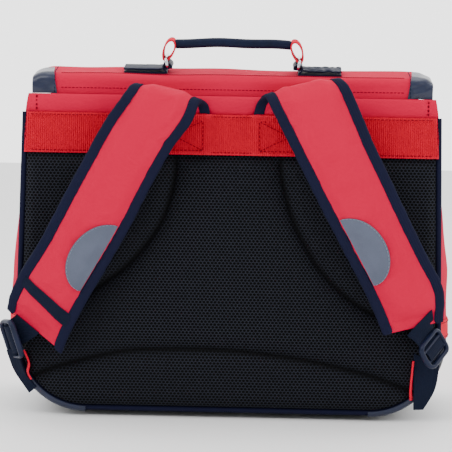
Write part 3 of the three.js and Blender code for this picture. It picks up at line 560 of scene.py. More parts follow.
# Back padding: foam under black air mesh, sewn down along two long curves and an arch, so that it
# puffs up in four zones. The mesh is knitted with open cells in staggered rows.
PAD_SHEET = 0.0025
PAD_RISE = 0.0065
PUFF_REACH = 0.020
EDGE_REACH = 0.012
CELL_PITCH = 0.00345
ROW_PITCH = 0.0026
CELL_DEPTH = 0.0016
HOLE_SHARE = (0.74, 0.72)
# Painted shade beside the sewn curves: how far it reaches and how much it darkens the strands.
SEAM_SHADE = 0.0026
SEAM_DARKENING = 0.9
PAD_UNDER_WEBBING = 0.004
FLAT_BELOW_WEBBING = 0.002
PAD_WAVE = 0.0005
PAD_WAVE_LENGTH = 0.06
# Sewn curves as x and z, from the webbing down to where the straps hide them
CURVE_ROWS = {
    "left": [(-0.050, 0.250), (-0.0514, 0.225), (-0.0556, 0.2055), (-0.0626, 0.185), (-0.0775, 0.1616),
             (-0.097, 0.140), (-0.114, 0.127), (-0.1326, 0.114), (-0.165, 0.096), (-0.200, 0.084)],
    "right": [(0.0467, 0.250), (0.0467, 0.2316), (0.0518, 0.208), (0.0593, 0.185), (0.0738, 0.157),
              (0.0869, 0.138), (0.110, 0.116), (0.130, 0.103), (0.165, 0.088), (0.200, 0.078)],
    "arch": [(-0.196, 0.031), (-0.182, 0.0364), (-0.167, 0.0433), (-0.141, 0.0517), (-0.114, 0.0584),
             (-0.0906, 0.0626), (-0.065, 0.0642), (-0.02, 0.0648), (0.0075, 0.0638), (0.035, 0.0612),
             (0.068, 0.057), (0.110, 0.0486), (0.135, 0.0425), (0.1606, 0.0336), (0.19, 0.022)],
}


def spline(rows, per_row=10):
    """Smooth line through the rows of a table, by centripetal Catmull-Rom spans."""
    points = np.array(rows, float)
    points = np.concatenate([[2 * points[0] - points[1]], points, [2 * points[-1] - points[-2]]])
    line = []
    for a, b, c, d in zip(points, points[1:], points[2:], points[3:]):
        t1 = max(np.linalg.norm(b - a), 1e-9) ** 0.5
        t2 = t1 + max(np.linalg.norm(c - b), 1e-9) ** 0.5
        t3 = t2 + max(np.linalg.norm(d - c), 1e-9) ** 0.5
        for t in np.linspace(t1, t2, per_row, endpoint=False):
            p = a * (t1 - t) / t1 + b * t / t1
            q = b * (t2 - t) / (t2 - t1) + c * (t - t1) / (t2 - t1)
            r = c * (t3 - t) / (t3 - t2) + d * (t - t2) / (t3 - t2)
            pq = p * (t2 - t) / t2 + q * t / t2
            qr = q * (t3 - t) / (t3 - t1) + r * (t - t1) / (t3 - t1)
            line.append(pq * (t2 - t) / (t2 - t1) + qr * (t - t1) / (t2 - t1))
    line.append(points[-2])
    return np.array(line)


def distance_to(line, x, z):
    """Shortest distance from each place to a line of points in x and z."""
    best = np.full(x.shape, 1e9)
    for (ax, az), (bx, bz) in zip(line, line[1:]):
        dx, dz = bx - ax, bz - az
        share = np.clip(((x - ax) * dx + (z - az) * dz) / (dx * dx + dz * dz), 0, 1)
        best = np.minimum(best, np.hypot(x - ax - share * dx, z - az - share * dz))
    return best


sewn_curves = {word: spline(rows) for word, rows in CURVE_ROWS.items()}
pad_top = webbing_low.z + PAD_UNDER_WEBBING
pad_inset = SEAM_INSET


def border_distance(x, z):
    """Distance to the edge of the padding, inside the piping."""
    reach = np.hypot(np.abs(x) - corner_x, z - corner_z)
    in_corner = (np.abs(x) > corner_x) & (z < corner_z)
    straight = np.minimum(half_at(z) - np.abs(x), z - seam_z)
    return np.where(in_corner, corner_radius - reach, straight) - pad_inset


def puff(distance, reach):
    share = 1 - np.clip(distance / reach, 0, 1)
    return 1 - share ** 2.6


def pad_out(x, z):
    """Distance of the padding's surface in front of the back panel."""
    seams = np.minimum.reduce([distance_to(line, x, z) for line in sewn_curves.values()])
    swollen = puff(seams, PUFF_REACH) * puff(border_distance(x, z), EDGE_REACH)
    swollen *= puff(np.clip(webbing_low.z - FLAT_BELOW_WEBBING - z, 0, None), EDGE_REACH)
    uneven = PAD_WAVE * folds(x, z, PAD_WAVE_LENGTH, 5) * swollen
    return GAP + PAD_SHEET + PAD_RISE * swollen + uneven


def cell_mesh():
    """One open cell of the mesh: a six-sided pit inside a flat six-sided rim."""
    width, height = CELL_PITCH / 2, ROW_PITCH
    rim = [(width, -height / 3), (width, height / 3), (0, height * 2 / 3), (-width, height / 3),
           (-width, -height / 3), (0, -height * 2 / 3)]
    points = [(x, 0.0, z) for x, z in rim]
    points += [(x * HOLE_SHARE[0], 0.0, z * HOLE_SHARE[1]) for x, z in rim]
    points.append((0.0, CELL_DEPTH, 0.0))
    faces = []
    for i in range(6):
        j = (i + 1) % 6
        faces += [(i, j, 6 + j), (i, 6 + j, 6 + i), (6 + i, 6 + j, 12)]
    mesh = bpy.data.meshes.new("mesh_cell")
    mesh.from_pydata(points, [], faces)
    # Strands get 1 and the pit 0, so the pit takes the near-black colour: partly the mesh's own dark colour,
    # partly painted shade in the recess.
    strand_and_shade = mesh.attributes.new("strand_and_shade", "FLOAT", "POINT")
    strand_and_shade.data.foreach_set("value", [1.0] * 6 + [0.0] * 7)
    return bpy.data.objects.new("mesh_cell", mesh)


def node_tree(name, inputs):
    """A Geometry Nodes tree with named inputs, its group input and its group output."""
    tree = bpy.data.node_groups.new(name, "GeometryNodeTree")
    tree.interface.new_socket("Geometry", in_out="INPUT", socket_type="NodeSocketGeometry")
    for word, kind in inputs.items():
        tree.interface.new_socket(word, in_out="INPUT", socket_type=kind)
    tree.interface.new_socket("Geometry", in_out="OUTPUT", socket_type="NodeSocketGeometry")
    return tree, tree.nodes.new("NodeGroupInput"), tree.nodes.new("NodeGroupOutput")


def baked(name, source, tree, values):
    """Plain mesh object that a tree makes of a source object, with its named inputs set."""
    modifier = source.modifiers.new(name, "NODES")
    modifier.node_group = tree
    for item in tree.interface.items_tree:
        if item.item_type == "SOCKET" and item.in_out == "INPUT" and item.name in values:
            modifier[item.identifier] = values[item.name]
    bpy.context.view_layer.update()
    evaluated = source.evaluated_get(bpy.context.evaluated_depsgraph_get())
    mesh = bpy.data.meshes.new_from_object(evaluated)
    mesh.name = name
    bpy.data.objects.remove(source)
    piece = bpy.data.objects.new(name, mesh)
    bpy.context.scene.collection.objects.link(piece)
    return piece


def mesh_fabric_material():
    """Warp-knitted air mesh of polyester: soft grey-black strands round dark open cells, with painted shade
    in the pits and beside the sewn curves.
    """
    material, tree, shader = start_material("black_air_mesh_knit", Roughness=0.8)
    shader.inputs["Sheen Weight"].default_value = 0.03
    shader.inputs["Sheen Roughness"].default_value = 0.4
    shader.inputs["Sheen Tint"].default_value = linear("#8088a0")
    shader.inputs["Specular IOR Level"].default_value = 0.12
    strand_and_shade = add_node(tree, "ShaderNodeAttribute", {"attribute_name": "strand_and_shade"})
    place = add_node(tree, "ShaderNodeTexCoord").outputs["Object"]
    noise = noise_at(tree, place, 260.0, 3.0)
    uneven = add_node(tree, "ShaderNodeMath", {"operation": "MULTIPLY_ADD", 1: 0.8, 2: 0.5}, {0: noise})
    # The strand share, lowered by the painted shade in the pits and along the seams, picks between near
    # black and grey.
    shade = product(tree, strand_and_shade.outputs["Fac"], uneven.outputs[0])
    two_tone(tree, shader, shade, "#000001", "#282b36")
    return material


air_mesh = mesh_fabric_material()

lattice_tree, lattice_in, lattice_out = node_tree(
    "staggered_cells", {"Cell": "NodeSocketObject", "Material": "NodeSocketMaterial"})
cell_info = add_node(
    lattice_tree, "GeometryNodeObjectInfo", {}, {"Object": lattice_in.outputs["Cell"]})
placed = add_node(
    lattice_tree, "GeometryNodeInstanceOnPoints", {},
    {"Points": lattice_in.outputs["Geometry"], "Instance": cell_info.outputs["Geometry"]})
real = add_node(lattice_tree, "GeometryNodeRealizeInstances", {}, {"Geometry": placed.outputs[0]})
joined = add_node(
    lattice_tree, "GeometryNodeMergeByDistance", {"Distance": 0.0001}, {"Geometry": real.outputs[0]})
dyed = add_node(
    lattice_tree, "GeometryNodeSetMaterial", {},
    {"Geometry": joined.outputs[0], "Material": lattice_in.outputs["Material"]})
lattice_tree.links.new(dyed.outputs[0], lattice_out.inputs[0])

centres = []
rows = int((pad_top - seam_z) / ROW_PITCH)
columns = int(2 * low_half / CELL_PITCH)
for i in range(rows + 1):
    for j in range(columns + 1):
        x = (j - columns / 2 + (0.5 if i % 2 else 0.0)) * CELL_PITCH
        z = seam_z + pad_inset + i * ROW_PITCH
        centres.append((x, z))
centres = np.array(centres)
inside = (border_distance(centres[:, 0], centres[:, 1]) > -CELL_PITCH / 2) & (centres[:, 1] < pad_top)
lattice = bpy.data.meshes.new("cell_centres")
lattice.from_pydata([(x, 0.0, z) for x, z in centres[inside]], [], [])
lattice_object = bpy.data.objects.new("cell_centres", lattice)
bpy.context.scene.collection.objects.link(lattice_object)
cell = cell_mesh()
bpy.context.scene.collection.objects.link(cell)
mesh_pad = baked("air_mesh_pad", lattice_object, lattice_tree, {"Cell": cell, "Material": air_mesh})
bpy.data.objects.remove(cell)

# Cells that reach over the border are drawn back onto it, then all of them onto the padding
co = np.zeros(len(mesh_pad.data.vertices) * 3)
mesh_pad.data.vertices.foreach_get("co", co)
co = co.reshape(-1, 3)
beyond = np.clip(-border_distance(co[:, 0], co[:, 2]), 0, None)
in_corner = (np.abs(co[:, 0]) > corner_x) & (co[:, 2] < corner_z)
to_middle = np.stack([np.sign(co[:, 0]) * corner_x - co[:, 0], corner_z - co[:, 2]], axis=1)
to_middle = np.where(in_corner[:, None], unit(to_middle), 0)
low_row = ~in_corner & (np.abs(co[:, 0]) <= corner_x)
to_middle[low_row] = (0.0, 1.0)
beside = ~in_corner & ~low_row
to_middle[beside] = np.stack([-np.sign(co[beside, 0]), np.zeros(beside.sum())], axis=1)
co[:, 0] += to_middle[:, 0] * beyond
co[:, 2] += to_middle[:, 1] * beyond
co[:, 1] += back_face - pad_out(co[:, 0], co[:, 2])
strand_and_shade_layer = mesh_pad.data.attributes["strand_and_shade"]
strand_and_shade_values = np.zeros(len(mesh_pad.data.vertices))
strand_and_shade_layer.data.foreach_get("value", strand_and_shade_values)
# Painted shade: the strands are darkened near the sewn curves, where the seams press the mesh into grooves.
near_seam = np.minimum.reduce([distance_to(line, co[:, 0], co[:, 2]) for line in sewn_curves.values()])
strand_and_shade_values *= 1 - SEAM_DARKENING * np.exp(-(near_seam / SEAM_SHADE) ** 2)
strand_and_shade_layer.data.foreach_set("value", strand_and_shade_values)
mesh_pad.data.vertices.foreach_set("co", co.ravel())
# Skirt from the border of the mesh down to the back panel, closed behind
shell = bmesh.new()
shell.from_mesh(mesh_pad.data)
edges = [edge for edge in shell.edges if edge.is_boundary]
skirt = bmesh.ops.extrude_edge_only(shell, edges=edges)["geom"]
for vert in [item for item in skirt if isinstance(item, bmesh.types.BMVert)]:
    vert.co.y = back_face - GAP
back_edges = [item for item in skirt if isinstance(item, bmesh.types.BMEdge)]
back_edges = [edge for edge in back_edges if edge.is_boundary]
bmesh.ops.contextual_create(shell, geom=back_edges)
bmesh.ops.recalc_face_normals(shell, faces=shell.faces)
shell.to_mesh(mesh_pad.data)
shell.free()
mesh_pad.data.shade_smooth()
dress(mesh_pad, air_mesh, "black_air_mesh", "mesh_back_pad")


# Upper band and webbing: a red cloth hem under the flap's fold, then a wide ribbed webbing sewn
# over the top of the padding and over the roots of the straps.
BAND_WALL = 0.0018
BAND_OUT = 0.0032
BAND_BULGE = 0.0024
BAND_END_DROP = 0.0022
BAND_END_WIDTH = 0.012
RIB_PITCH = 0.0019
RIB_STEPS = 4
WEFT_PITCH = 0.0013
WEFT_STEPS = 3
RIB_DEPTH = 0.00042
PICK_DEPTH = 0.000462
EDGE_FADE = 0.003
WEBBING_WALL = 0.0018
WEBBING_OUT = 0.0056
ROOT_FADE = 0.01
ROOT_MARGIN = 0.008
STRAP_ROOT_X = (0.022, 0.088)

band_z = np.linspace(band_low.z - 0.002, band_high.z, 18)[:, None]
band_share = (band_z - band_low.z) / (band_high.z - band_low.z)
band_x = np.linspace(-1, 1, 120)[None, :] * (half_at(band_z) - GAP)
edge_drop = BAND_END_DROP * ease((np.abs(band_x) - half_at(band_z) + BAND_END_WIDTH) / BAND_END_WIDTH)
band_out = BAND_OUT + BAND_BULGE * np.sin(math.pi * np.clip(band_share, 0, 1)) ** 0.7 + 0.001 * band_share
band_out = band_out + 0.0005 * folds(band_x, band_z, 0.05, 8) - edge_drop
band_grid = np.stack([
    band_x, back_face - band_out, np.broadcast_to(band_z, band_x.shape),
], axis=2)
band = dress(cloth_wall("hem_band", band_grid, BAND_WALL), red_polyester, "red_cloth", "upper_band")

columns = int(2 * top_half / RIB_PITCH) * RIB_STEPS
rows = int((webbing_high.z - webbing_low.z) / WEFT_PITCH) * WEFT_STEPS
rib_z = np.linspace(webbing_low.z, webbing_high.z, rows)[:, None]
rib_x = np.linspace(-1, 1, columns)[None, :] * (half_at(rib_z) - SEAM_INSET + 0.001)
below_top = webbing_high.z - rib_z
over_root = ease((np.abs(rib_x) - STRAP_ROOT_X[0] + ROOT_MARGIN) / ROOT_FADE)
over_root = over_root * ease((STRAP_ROOT_X[1] + ROOT_MARGIN - np.abs(rib_x)) / ROOT_FADE)
lift = over_root * (0.0015 + 0.0052 * np.exp(-below_top / 0.006))
ribs = RIB_DEPTH * np.cos(2 * math.pi * rib_x / RIB_PITCH)
pick_turn = 2 * math.pi * rib_z / WEFT_PITCH + math.pi * np.round(rib_x / RIB_PITCH)
picks = PICK_DEPTH * np.cos(pick_turn)
picks *= ease((rib_z - webbing_low.z) / EDGE_FADE) * ease((webbing_high.z - rib_z) / EDGE_FADE)
wave = 0.0004 * folds(rib_x, rib_z, 0.09, 14)
rib_out = WEBBING_OUT + lift + ribs + picks + wave
webbing_grid = np.stack([
    np.broadcast_to(rib_x, rib_out.shape), back_face - rib_out, np.broadcast_to(rib_z, rib_out.shape),
], axis=2)
webbing = cloth_wall("ribbed_webbing", webbing_grid, WEBBING_WALL)
dress(webbing, orange_red_tape, "red_webbing", "back_webbing")


# Flap: red cloth over thin foam and board. It rises from the back seam, folds over a crease, slopes
# up to the flat top and falls down the front, with round lower corners.
FLAP_WALL = 0.003
FLAP_RISE = 0.011
CREASE_RADIUS = 0.007
FLAP_SLOPE = math.radians(11)
SLOPE_LENGTH = 0.030
CREST_RADIUS = 0.060
FRONT_RADIUS = 0.025
FLAP_CORNER = 0.040
END_DROP = 0.005
END_DROP_WIDTH = 0.017

flap_low, flap_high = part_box("flap")
flap_half = flap_high.x
flap_hem = flap_low.z


def flap_face(z):
    """Middle of the flap's wall on the front of the bag."""
    return front_at(z) + 2 * GAP + FLAP_WALL / 2


def flap_line():
    """Middle of the flap's wall from its root to the end of its front bend, as rows of y, z and
    the heading, with its marked lengths."""
    place = np.array([back_face + panel_wall / 2, top_z + GAP])
    heading = math.pi / 2
    line = [(*place, heading)]

    def run(length, count):
        nonlocal place
        for _ in range(count):
            place = place + np.array([math.cos(heading), math.sin(heading)]) * length / count
            line.append((*place, heading))

    def turn(angle, radius, count):
        nonlocal place, heading
        for _ in range(count):
            place = place + np.array([math.sin(heading), -math.cos(heading)]) * radius
            heading -= angle / count
            place = place - np.array([math.sin(heading), -math.cos(heading)]) * radius
            line.append((*place, heading))

    run(FLAP_RISE, 8)
    turn(math.pi / 2 - FLAP_SLOPE, CREASE_RADIUS, 10)
    crease = len(line) - 1
    run(SLOPE_LENGTH, 12)
    slope = len(line) - 1
    turn(FLAP_SLOPE, CREST_RADIUS, 8)
    fall = math.pi / 2 - math.atan(lean)
    bend_z = place[1] - FRONT_RADIUS * (1 - math.cos(fall))
    run(flap_face(bend_z) - FRONT_RADIUS * math.sin(fall) - place[0], 26)
    turn(fall, FRONT_RADIUS, 16)
    return np.array(line), crease, slope


flap_path, crease_row, slope_row = flap_line()


def flap_grid(x_line, front, offset, seed=31, depth=0.0009):
    """Grid of the flap's face at a distance from the middle of its wall, one row for each x."""
    rows = []
    for x in x_line:
        from_edge = np.clip(flap_half - abs(x), 0, FLAP_CORNER)
        lift = FLAP_CORNER - math.sqrt(FLAP_CORNER ** 2 - (FLAP_CORNER - from_edge) ** 2)
        droop = np.clip((abs(x) - flap_half + END_DROP_WIDTH) / END_DROP_WIDTH, 0, 1) ** 2
        line = [tuple(row) for row in flap_path[:front]]
        if front > len(flap_path):
            y0, z0, heading = flap_path[-1]
            for share in np.linspace(0, 1, 50)[1:]:
                z = z0 + (flap_hem + lift - z0) * share
                line.append((flap_face(z), z, heading))
        line = np.array(line)
        part = np.clip((line[:, 1] - top_z) / (FLAP_RISE + CREASE_RADIUS), 0, 1)
        normal_y, normal_z = -np.sin(line[:, 2]), np.cos(line[:, 2])
        y = line[:, 0] + normal_y * offset
        z = line[:, 1] + normal_z * offset - END_DROP * droop * part
        rows.append(np.stack([np.full(len(line), x), y, z], axis=1))
    grid = np.array(rows)
    along = np.arange(grid.shape[1])[None, :]
    free = ease(along / 10) * ease((flap_half - np.abs(grid[:, :, 0])) / 0.03)
    wave = depth * folds(grid[:, :, 0], grid[:, :, 1] + grid[:, :, 2], 0.12, seed) * free
    return grid - surface_normals(grid) * wave[:, :, None]


def flap_stations(count):
    share = np.linspace(-1, 1, count)
    return flap_half * np.sign(share) * (1 - (1 - np.abs(share)) ** 1.25)


whole = len(flap_path) + 1
outer = flap_grid(flap_stations(130), whole, FLAP_WALL / 2)[::-1]
flap = dress(cloth_wall("flap_cloth", outer, FLAP_WALL), red_polyester, "red_cloth", "flap")


# Corner guards: glossy navy patent cloth, folded over the two back corners of the flap and sewn
# down along its inner side. Use has creased it.
GUARD_WIDTH = 0.023
GUARD_WALL = 0.0014
GUARD_NARROWING = 0.24
GUARD_CRUMPLE = 0.0006
guard_end = crease_row + 9

for word, side in sides.items():
    line = side * np.linspace(flap_half - GUARD_WIDTH, flap_half, 34)
    if side < 0:
        line = line[::-1]
    grid = flap_grid(line, guard_end, FLAP_WALL / 2 + GAP + GUARD_WALL)[::-1]
    narrowing = 1 - GUARD_NARROWING * np.linspace(0, 1, grid.shape[1])[None, :]
    grid[:, :, 0] = side * (flap_half - (flap_half - side * grid[:, :, 0]) * narrowing)
    crumple = GUARD_CRUMPLE * folds(grid[:, :, 0], grid[:, :, 2] * 1.3, 0.016, 50 + side)
    grid = grid + surface_normals(grid) * crumple[:, :, None]
    guard = cloth_wall(f"corner_guard_{word}", grid, GUARD_WALL)
    dress(guard, navy_patent, "navy_patent", f"flap_guard_{word}")


# Carry handle: a tube of navy imitation leather with a seam below, held at each end by a loop of
# red webbing, a chromed ring and a leather tab that is folded round the ring and sewn to the flap.
GRIP_ARCH = 0.0015
LEATHER_WALL = 0.0014
RING_WIRE = 0.0014
LOOP_WALL = 0.0016
TAB_ROLL = 0.0046
LOOP_HALF = (0.0047, 0.0098)
LOOP_LEAN = math.radians(20)
LEAF_OUT = 0.0052
LEAF_DROP = 0.0112
TAB_STEPS = 26
TAB_CRUMPLE = {"left": 0.0002, "right": 0.0012}


def leather_material(name, light, dark):
    """Embossed imitation leather: fine pores, a half-gloss film and soft creases."""
    material, tree, shader = start_material(name, Roughness=0.5)
    shader.inputs["Specular IOR Level"].default_value = 0.08
    shader.inputs["Coat Weight"].default_value = 0.02
    shader.inputs["Coat Roughness"].default_value = 0.3
    place = add_node(tree, "ShaderNodeTexCoord").outputs["Object"]
    pores = add_node(tree, "ShaderNodeTexVoronoi", {"Scale": 900.0}, {"Vector": place})
    creases = noise_at(tree, place, 140.0, 4.0)
    two_tone(tree, shader, creases, dark, light)
    relief = add_node(
        tree, "ShaderNodeBump", {"Strength": 0.35, "Distance": 0.0002}, {"Height": pores.outputs[0]})
    wave = raised(tree, shader, creases, 0.3, 0.0008)
    tree.links.new(relief.outputs[0], wave.inputs["Normal"])
    return material


# PVC-coated leather cloth, embossed with fine pores.
navy_leather = leather_material("navy_imitation_leather", "#111a33", "#0a1020")
# Steel wire with a bright chrome plating.
chrome, _, chrome_shader = start_material("chromed_steel_wire", Roughness=0.12, Metallic=1.0)
chrome_shader.inputs["Base Color"].default_value = linear("#c9ccd2")

grip_low, grip_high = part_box("handle_grip")
grip_half = grip_high.x
grip_y = (grip_low.y + grip_high.y) / 2
grip_radius = (grip_high.y - grip_low.y) / 2
grip_top = grip_high.z
share = np.linspace(-1, 1, 70)
rise = GRIP_ARCH * (1 - share ** 2) - 0.0004 * np.sin(6 * share)
at = np.stack([share * grip_half, np.full(70, grip_y), grip_top - grip_radius - GRIP_ARCH + rise], axis=1)
out = np.tile([0.0, -1.0, 0.0], (70, 1))
upwards = np.tile([0.0, 0.0, 1.0], (70, 1))
around = np.linspace(0, 2 * math.pi, 28, endpoint=False)
squared = np.sign(np.cos(around)) * np.abs(np.cos(around)) ** 0.85
tube = np.stack([grip_radius * squared, grip_radius * 0.98 * np.sin(around)], axis=1)
ends = np.clip((1 - np.abs(share)) / 0.02, 0.55, 1)[:, None, None]
grip = swept("grip_tube", at, out, upwards, tube[None] * ends ** 0.5)
dress(grip, navy_leather, "navy_leather", "handle_grip")


def rounded(corners, radius, steps=6):
    """Closed outline with rounded corners."""
    line = []
    count = len(corners)
    for i in range(count):
        before, here, after = (np.array(corners[(i + k) % count], float) for k in (-1, 0, 1))
        reach = min(radius, np.linalg.norm(before - here) / 2.1, np.linalg.norm(after - here) / 2.1)
        start = here + (before - here) / np.linalg.norm(before - here) * reach
        stop = here + (after - here) / np.linalg.norm(after - here) * reach
        for t in np.linspace(0, 1, steps):
            line.append(start * (1 - t) ** 2 + here * 2 * t * (1 - t) + stop * t ** 2)
    return np.array(line)


def closed_sweep(name, line, normal, section):
    """Ring with one section, along a closed flat line of 3-D points with a steady normal."""
    ahead = np.roll(line, -1, axis=0) - np.roll(line, 1, axis=0)
    ahead /= np.linalg.norm(ahead, axis=1, keepdims=True)
    normals = np.broadcast_to(normal, line.shape)
    sideways = np.cross(ahead, normals)
    return swept(name, line, sideways, normals, section, ring=True)


slope_place = flap_path[(crease_row + slope_row) // 2]
slope_angle = slope_place[2]
slope_up = np.array([0.0, math.cos(slope_angle), math.sin(slope_angle)])
slope_out = np.array([0.0, -math.sin(slope_angle), math.cos(slope_angle)])
slope_origin = np.array([0.0, slope_place[0], slope_place[1]]) + slope_out * (FLAP_WALL / 2 + GAP)

for word, side in sides.items():
    ring_low, ring_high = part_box(f"handle_ring_{word}")
    anchor_low, anchor_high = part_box(f"handle_anchor_{word}")
    loop_low, loop_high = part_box(f"handle_loop_{word}")
    inner_x = ring_low.x if side > 0 else -ring_high.x
    lower = np.array([side * (inner_x + RING_WIRE), 0.0, 0.0]) + slope_origin
    lower += slope_out * (TAB_ROLL + LEATHER_WALL)
    width = (ring_high.y - ring_low.y) / math.cos(slope_angle) / 2 - RING_WIRE
    leaf_x = grip_half + LEAF_OUT
    leaf_z = grip_top - LEAF_DROP
    upper = lower.copy()
    upper[0] = side * (leaf_x + (LOOP_HALF[1] - RING_WIRE - LOOP_WALL) * math.sin(LOOP_LEAN))
    upper[2] = leaf_z - (LOOP_HALF[1] - RING_WIRE - LOOP_WALL) * math.cos(LOOP_LEAN)
    tip = upper - lower
    corners = [lower - slope_up * width, lower + slope_up * width,
               upper + slope_up * width, upper - slope_up * width]
    line = rounded(corners, 0.004)
    normal = unit(np.cross(slope_up, tip))
    ring = closed_sweep(f"ring_{word}", line, normal, circle(RING_WIRE, 10))
    dress(ring, chrome, "chrome_wire", f"handle_ring_{word}")

    # The webbing loop: a leaf-shaped band from the end of the grip round the ring's upper bar
    turn = np.linspace(0, 2 * math.pi, 60, endpoint=False)
    leaf_a = LOOP_HALF[0] * np.sin(turn) * (1 + 0.12 * np.cos(turn))
    leaf_b = LOOP_HALF[1] * np.cos(turn)
    loop_y = (loop_low.y + loop_high.y) / 2
    line = np.stack([
        side * (leaf_x + leaf_a * math.cos(LOOP_LEAN) - leaf_b * math.sin(LOOP_LEAN)),
        np.full(60, loop_y),
        leaf_z + leaf_b * math.cos(LOOP_LEAN) + leaf_a * math.sin(LOOP_LEAN),
    ], axis=1)
    half_band = (loop_high.y - loop_low.y) / 2 * 0.9
    strip = rounded([(-LOOP_WALL / 2, -half_band), (LOOP_WALL / 2, -half_band),
                     (LOOP_WALL / 2, half_band), (-LOOP_WALL / 2, half_band)], 0.0007, 4)
    loop = closed_sweep(f"webbing_loop_{word}", line, slope_up, strip)
    dress(loop, orange_red_tape, "red_webbing", f"handle_loop_{word}")

    # The leather tab: from its sewn end to the ring, round the lower bar and back underneath
    far = max(abs(anchor_low.x), abs(anchor_high.x))
    roll_x = inner_x + RING_WIRE
    half_tab = (anchor_high.y - anchor_low.y) / 2 * 0.97
    roll_centre = TAB_ROLL + LEATHER_WALL * 0.8
    upper_x = np.linspace(far, roll_x + TAB_ROLL + 0.004, TAB_STEPS)
    path = [(x, 2.05 * LEATHER_WALL + 0.0004) for x in upper_x]
    for turned in np.linspace(-2.3, 2.5, TAB_STEPS) + math.pi / 2 + 0.6:
        path.append((roll_x - TAB_ROLL * math.cos(turned), roll_centre + TAB_ROLL * math.sin(turned)))
    path += [(x, LEATHER_WALL * 0.75) for x in np.linspace(roll_x + TAB_ROLL * 0.8, far, 24)]
    path = np.array(path)
    across = np.linspace(-half_tab, half_tab, TAB_STEPS)
    top = np.arange(len(path)) < 34
    grid = []
    for v in across:
        lift = TAB_CRUMPLE[word] * folds(path[:, 0], np.full(len(path), v), 0.011, 77 + side) * top
        edge = 0.0006 * (abs(v) / half_tab) ** 6 * top
        row = slope_origin + np.outer(path[:, 0] * side, [1, 0, 0]) + slope_up * v
        row = row + np.outer(path[:, 1] + np.abs(lift) - edge, slope_out)
        grid.append(row)
    grid = np.array(grid)
    grid = grid if side > 0 else grid[::-1]
    anchor = cloth_wall(f"leather_tab_{word}", grid, LEATHER_WALL)
    dress(anchor, navy_leather, "navy_leather", f"handle_anchor_{word}")


# Clasp: a plain moulded tongue over the lower edge of the flap, on the side that the photo doesn't
# show. It stands in for the real closure.
CLASP_BEVEL = 0.0015
CLASP_THICKNESS = 0.0068
CLASP_CORNER = 0.006
CLASP_SHARE = 0.975


def plastic_material(name, light, dark):
    """Injection-moulded acetal: satin, with the faint unevenness of a worn mould."""
    material, tree, shader = start_material(name, Roughness=0.38)
    shader.inputs["Specular IOR Level"].default_value = 0.18
    place = add_node(tree, "ShaderNodeTexCoord").outputs["Object"]
    flow = noise_at(tree, place, 90.0, 3.0)
    two_tone(tree, shader, flow, dark, light)
    raised(tree, shader, flow, 0.15, 0.0004)
    return material


# Acetal buckles and clasp, moulded and satin.
navy_plastic = plastic_material("navy_moulded_acetal", "#141c36", "#0d1326")


def rounded_plate(name, corner, along, across, up, thickness, radius, bevel):
    """Plate with a rounded outline and rounded edges; corner is its middle."""
    half_a, half_b = along / 2, across / 2
    flat = rounded([(-half_a, -half_b), (half_a, -half_b), (half_a, half_b), (-half_a, half_b)], radius)
    layers = []
    for lift, inset in [(-1, 1), (-0.8, 0.3), (-0.4, 0), (0.4, 0), (0.8, 0.3), (1, 1)]:
        scale = np.array([1 - inset * bevel / half_a, 1 - inset * bevel / half_b])
        layers.append((flat * scale, lift * thickness / 2))
    at = np.array([corner + up[2] * lift for _, lift in layers])
    u = np.tile(up[0], (len(layers), 1))
    v = np.tile(up[1], (len(layers), 1))
    return swept(name, at, u, v, np.array([flat for flat, _ in layers]))


clasp_low, clasp_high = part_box("front_clasp")
clasp_middle = np.array((clasp_low + clasp_high) / 2)
clasp_up = np.array([0.0, -math.sin(math.atan(lean)), math.cos(math.atan(lean))])
clasp_out = np.array([0.0, clasp_up[2], -clasp_up[1]])
clasp_length = (clasp_high.z - clasp_low.z) * CLASP_SHARE
clasp = rounded_plate(
    "clasp_tongue", clasp_middle, clasp_high.x - clasp_low.x, clasp_length,
    (np.array([1.0, 0, 0]), clasp_up, -clasp_out), CLASP_THICKNESS, CLASP_CORNER, CLASP_BEVEL)
dress(clasp, navy_plastic, "navy_plastic", "front_clasp")


# Shoulder straps: red cloth sewn round a length of foam, thin at the edges where a navy binding is
# folded over them. They leave the back under the webbing, arch over and come down to the corners.
STRAP_STAND = 0.036
STRAP_THICK = 0.0105
FLANGE = 0.0030
BINDING_WIDTH = 0.0082
BINDING_WALL = 0.0010
STRAP_LONG = 120
STRAP_WIDE = 30
STRAP_FLOOR = 0.0044
END_THIN = 0.003
ROOT_THICK = 0.008
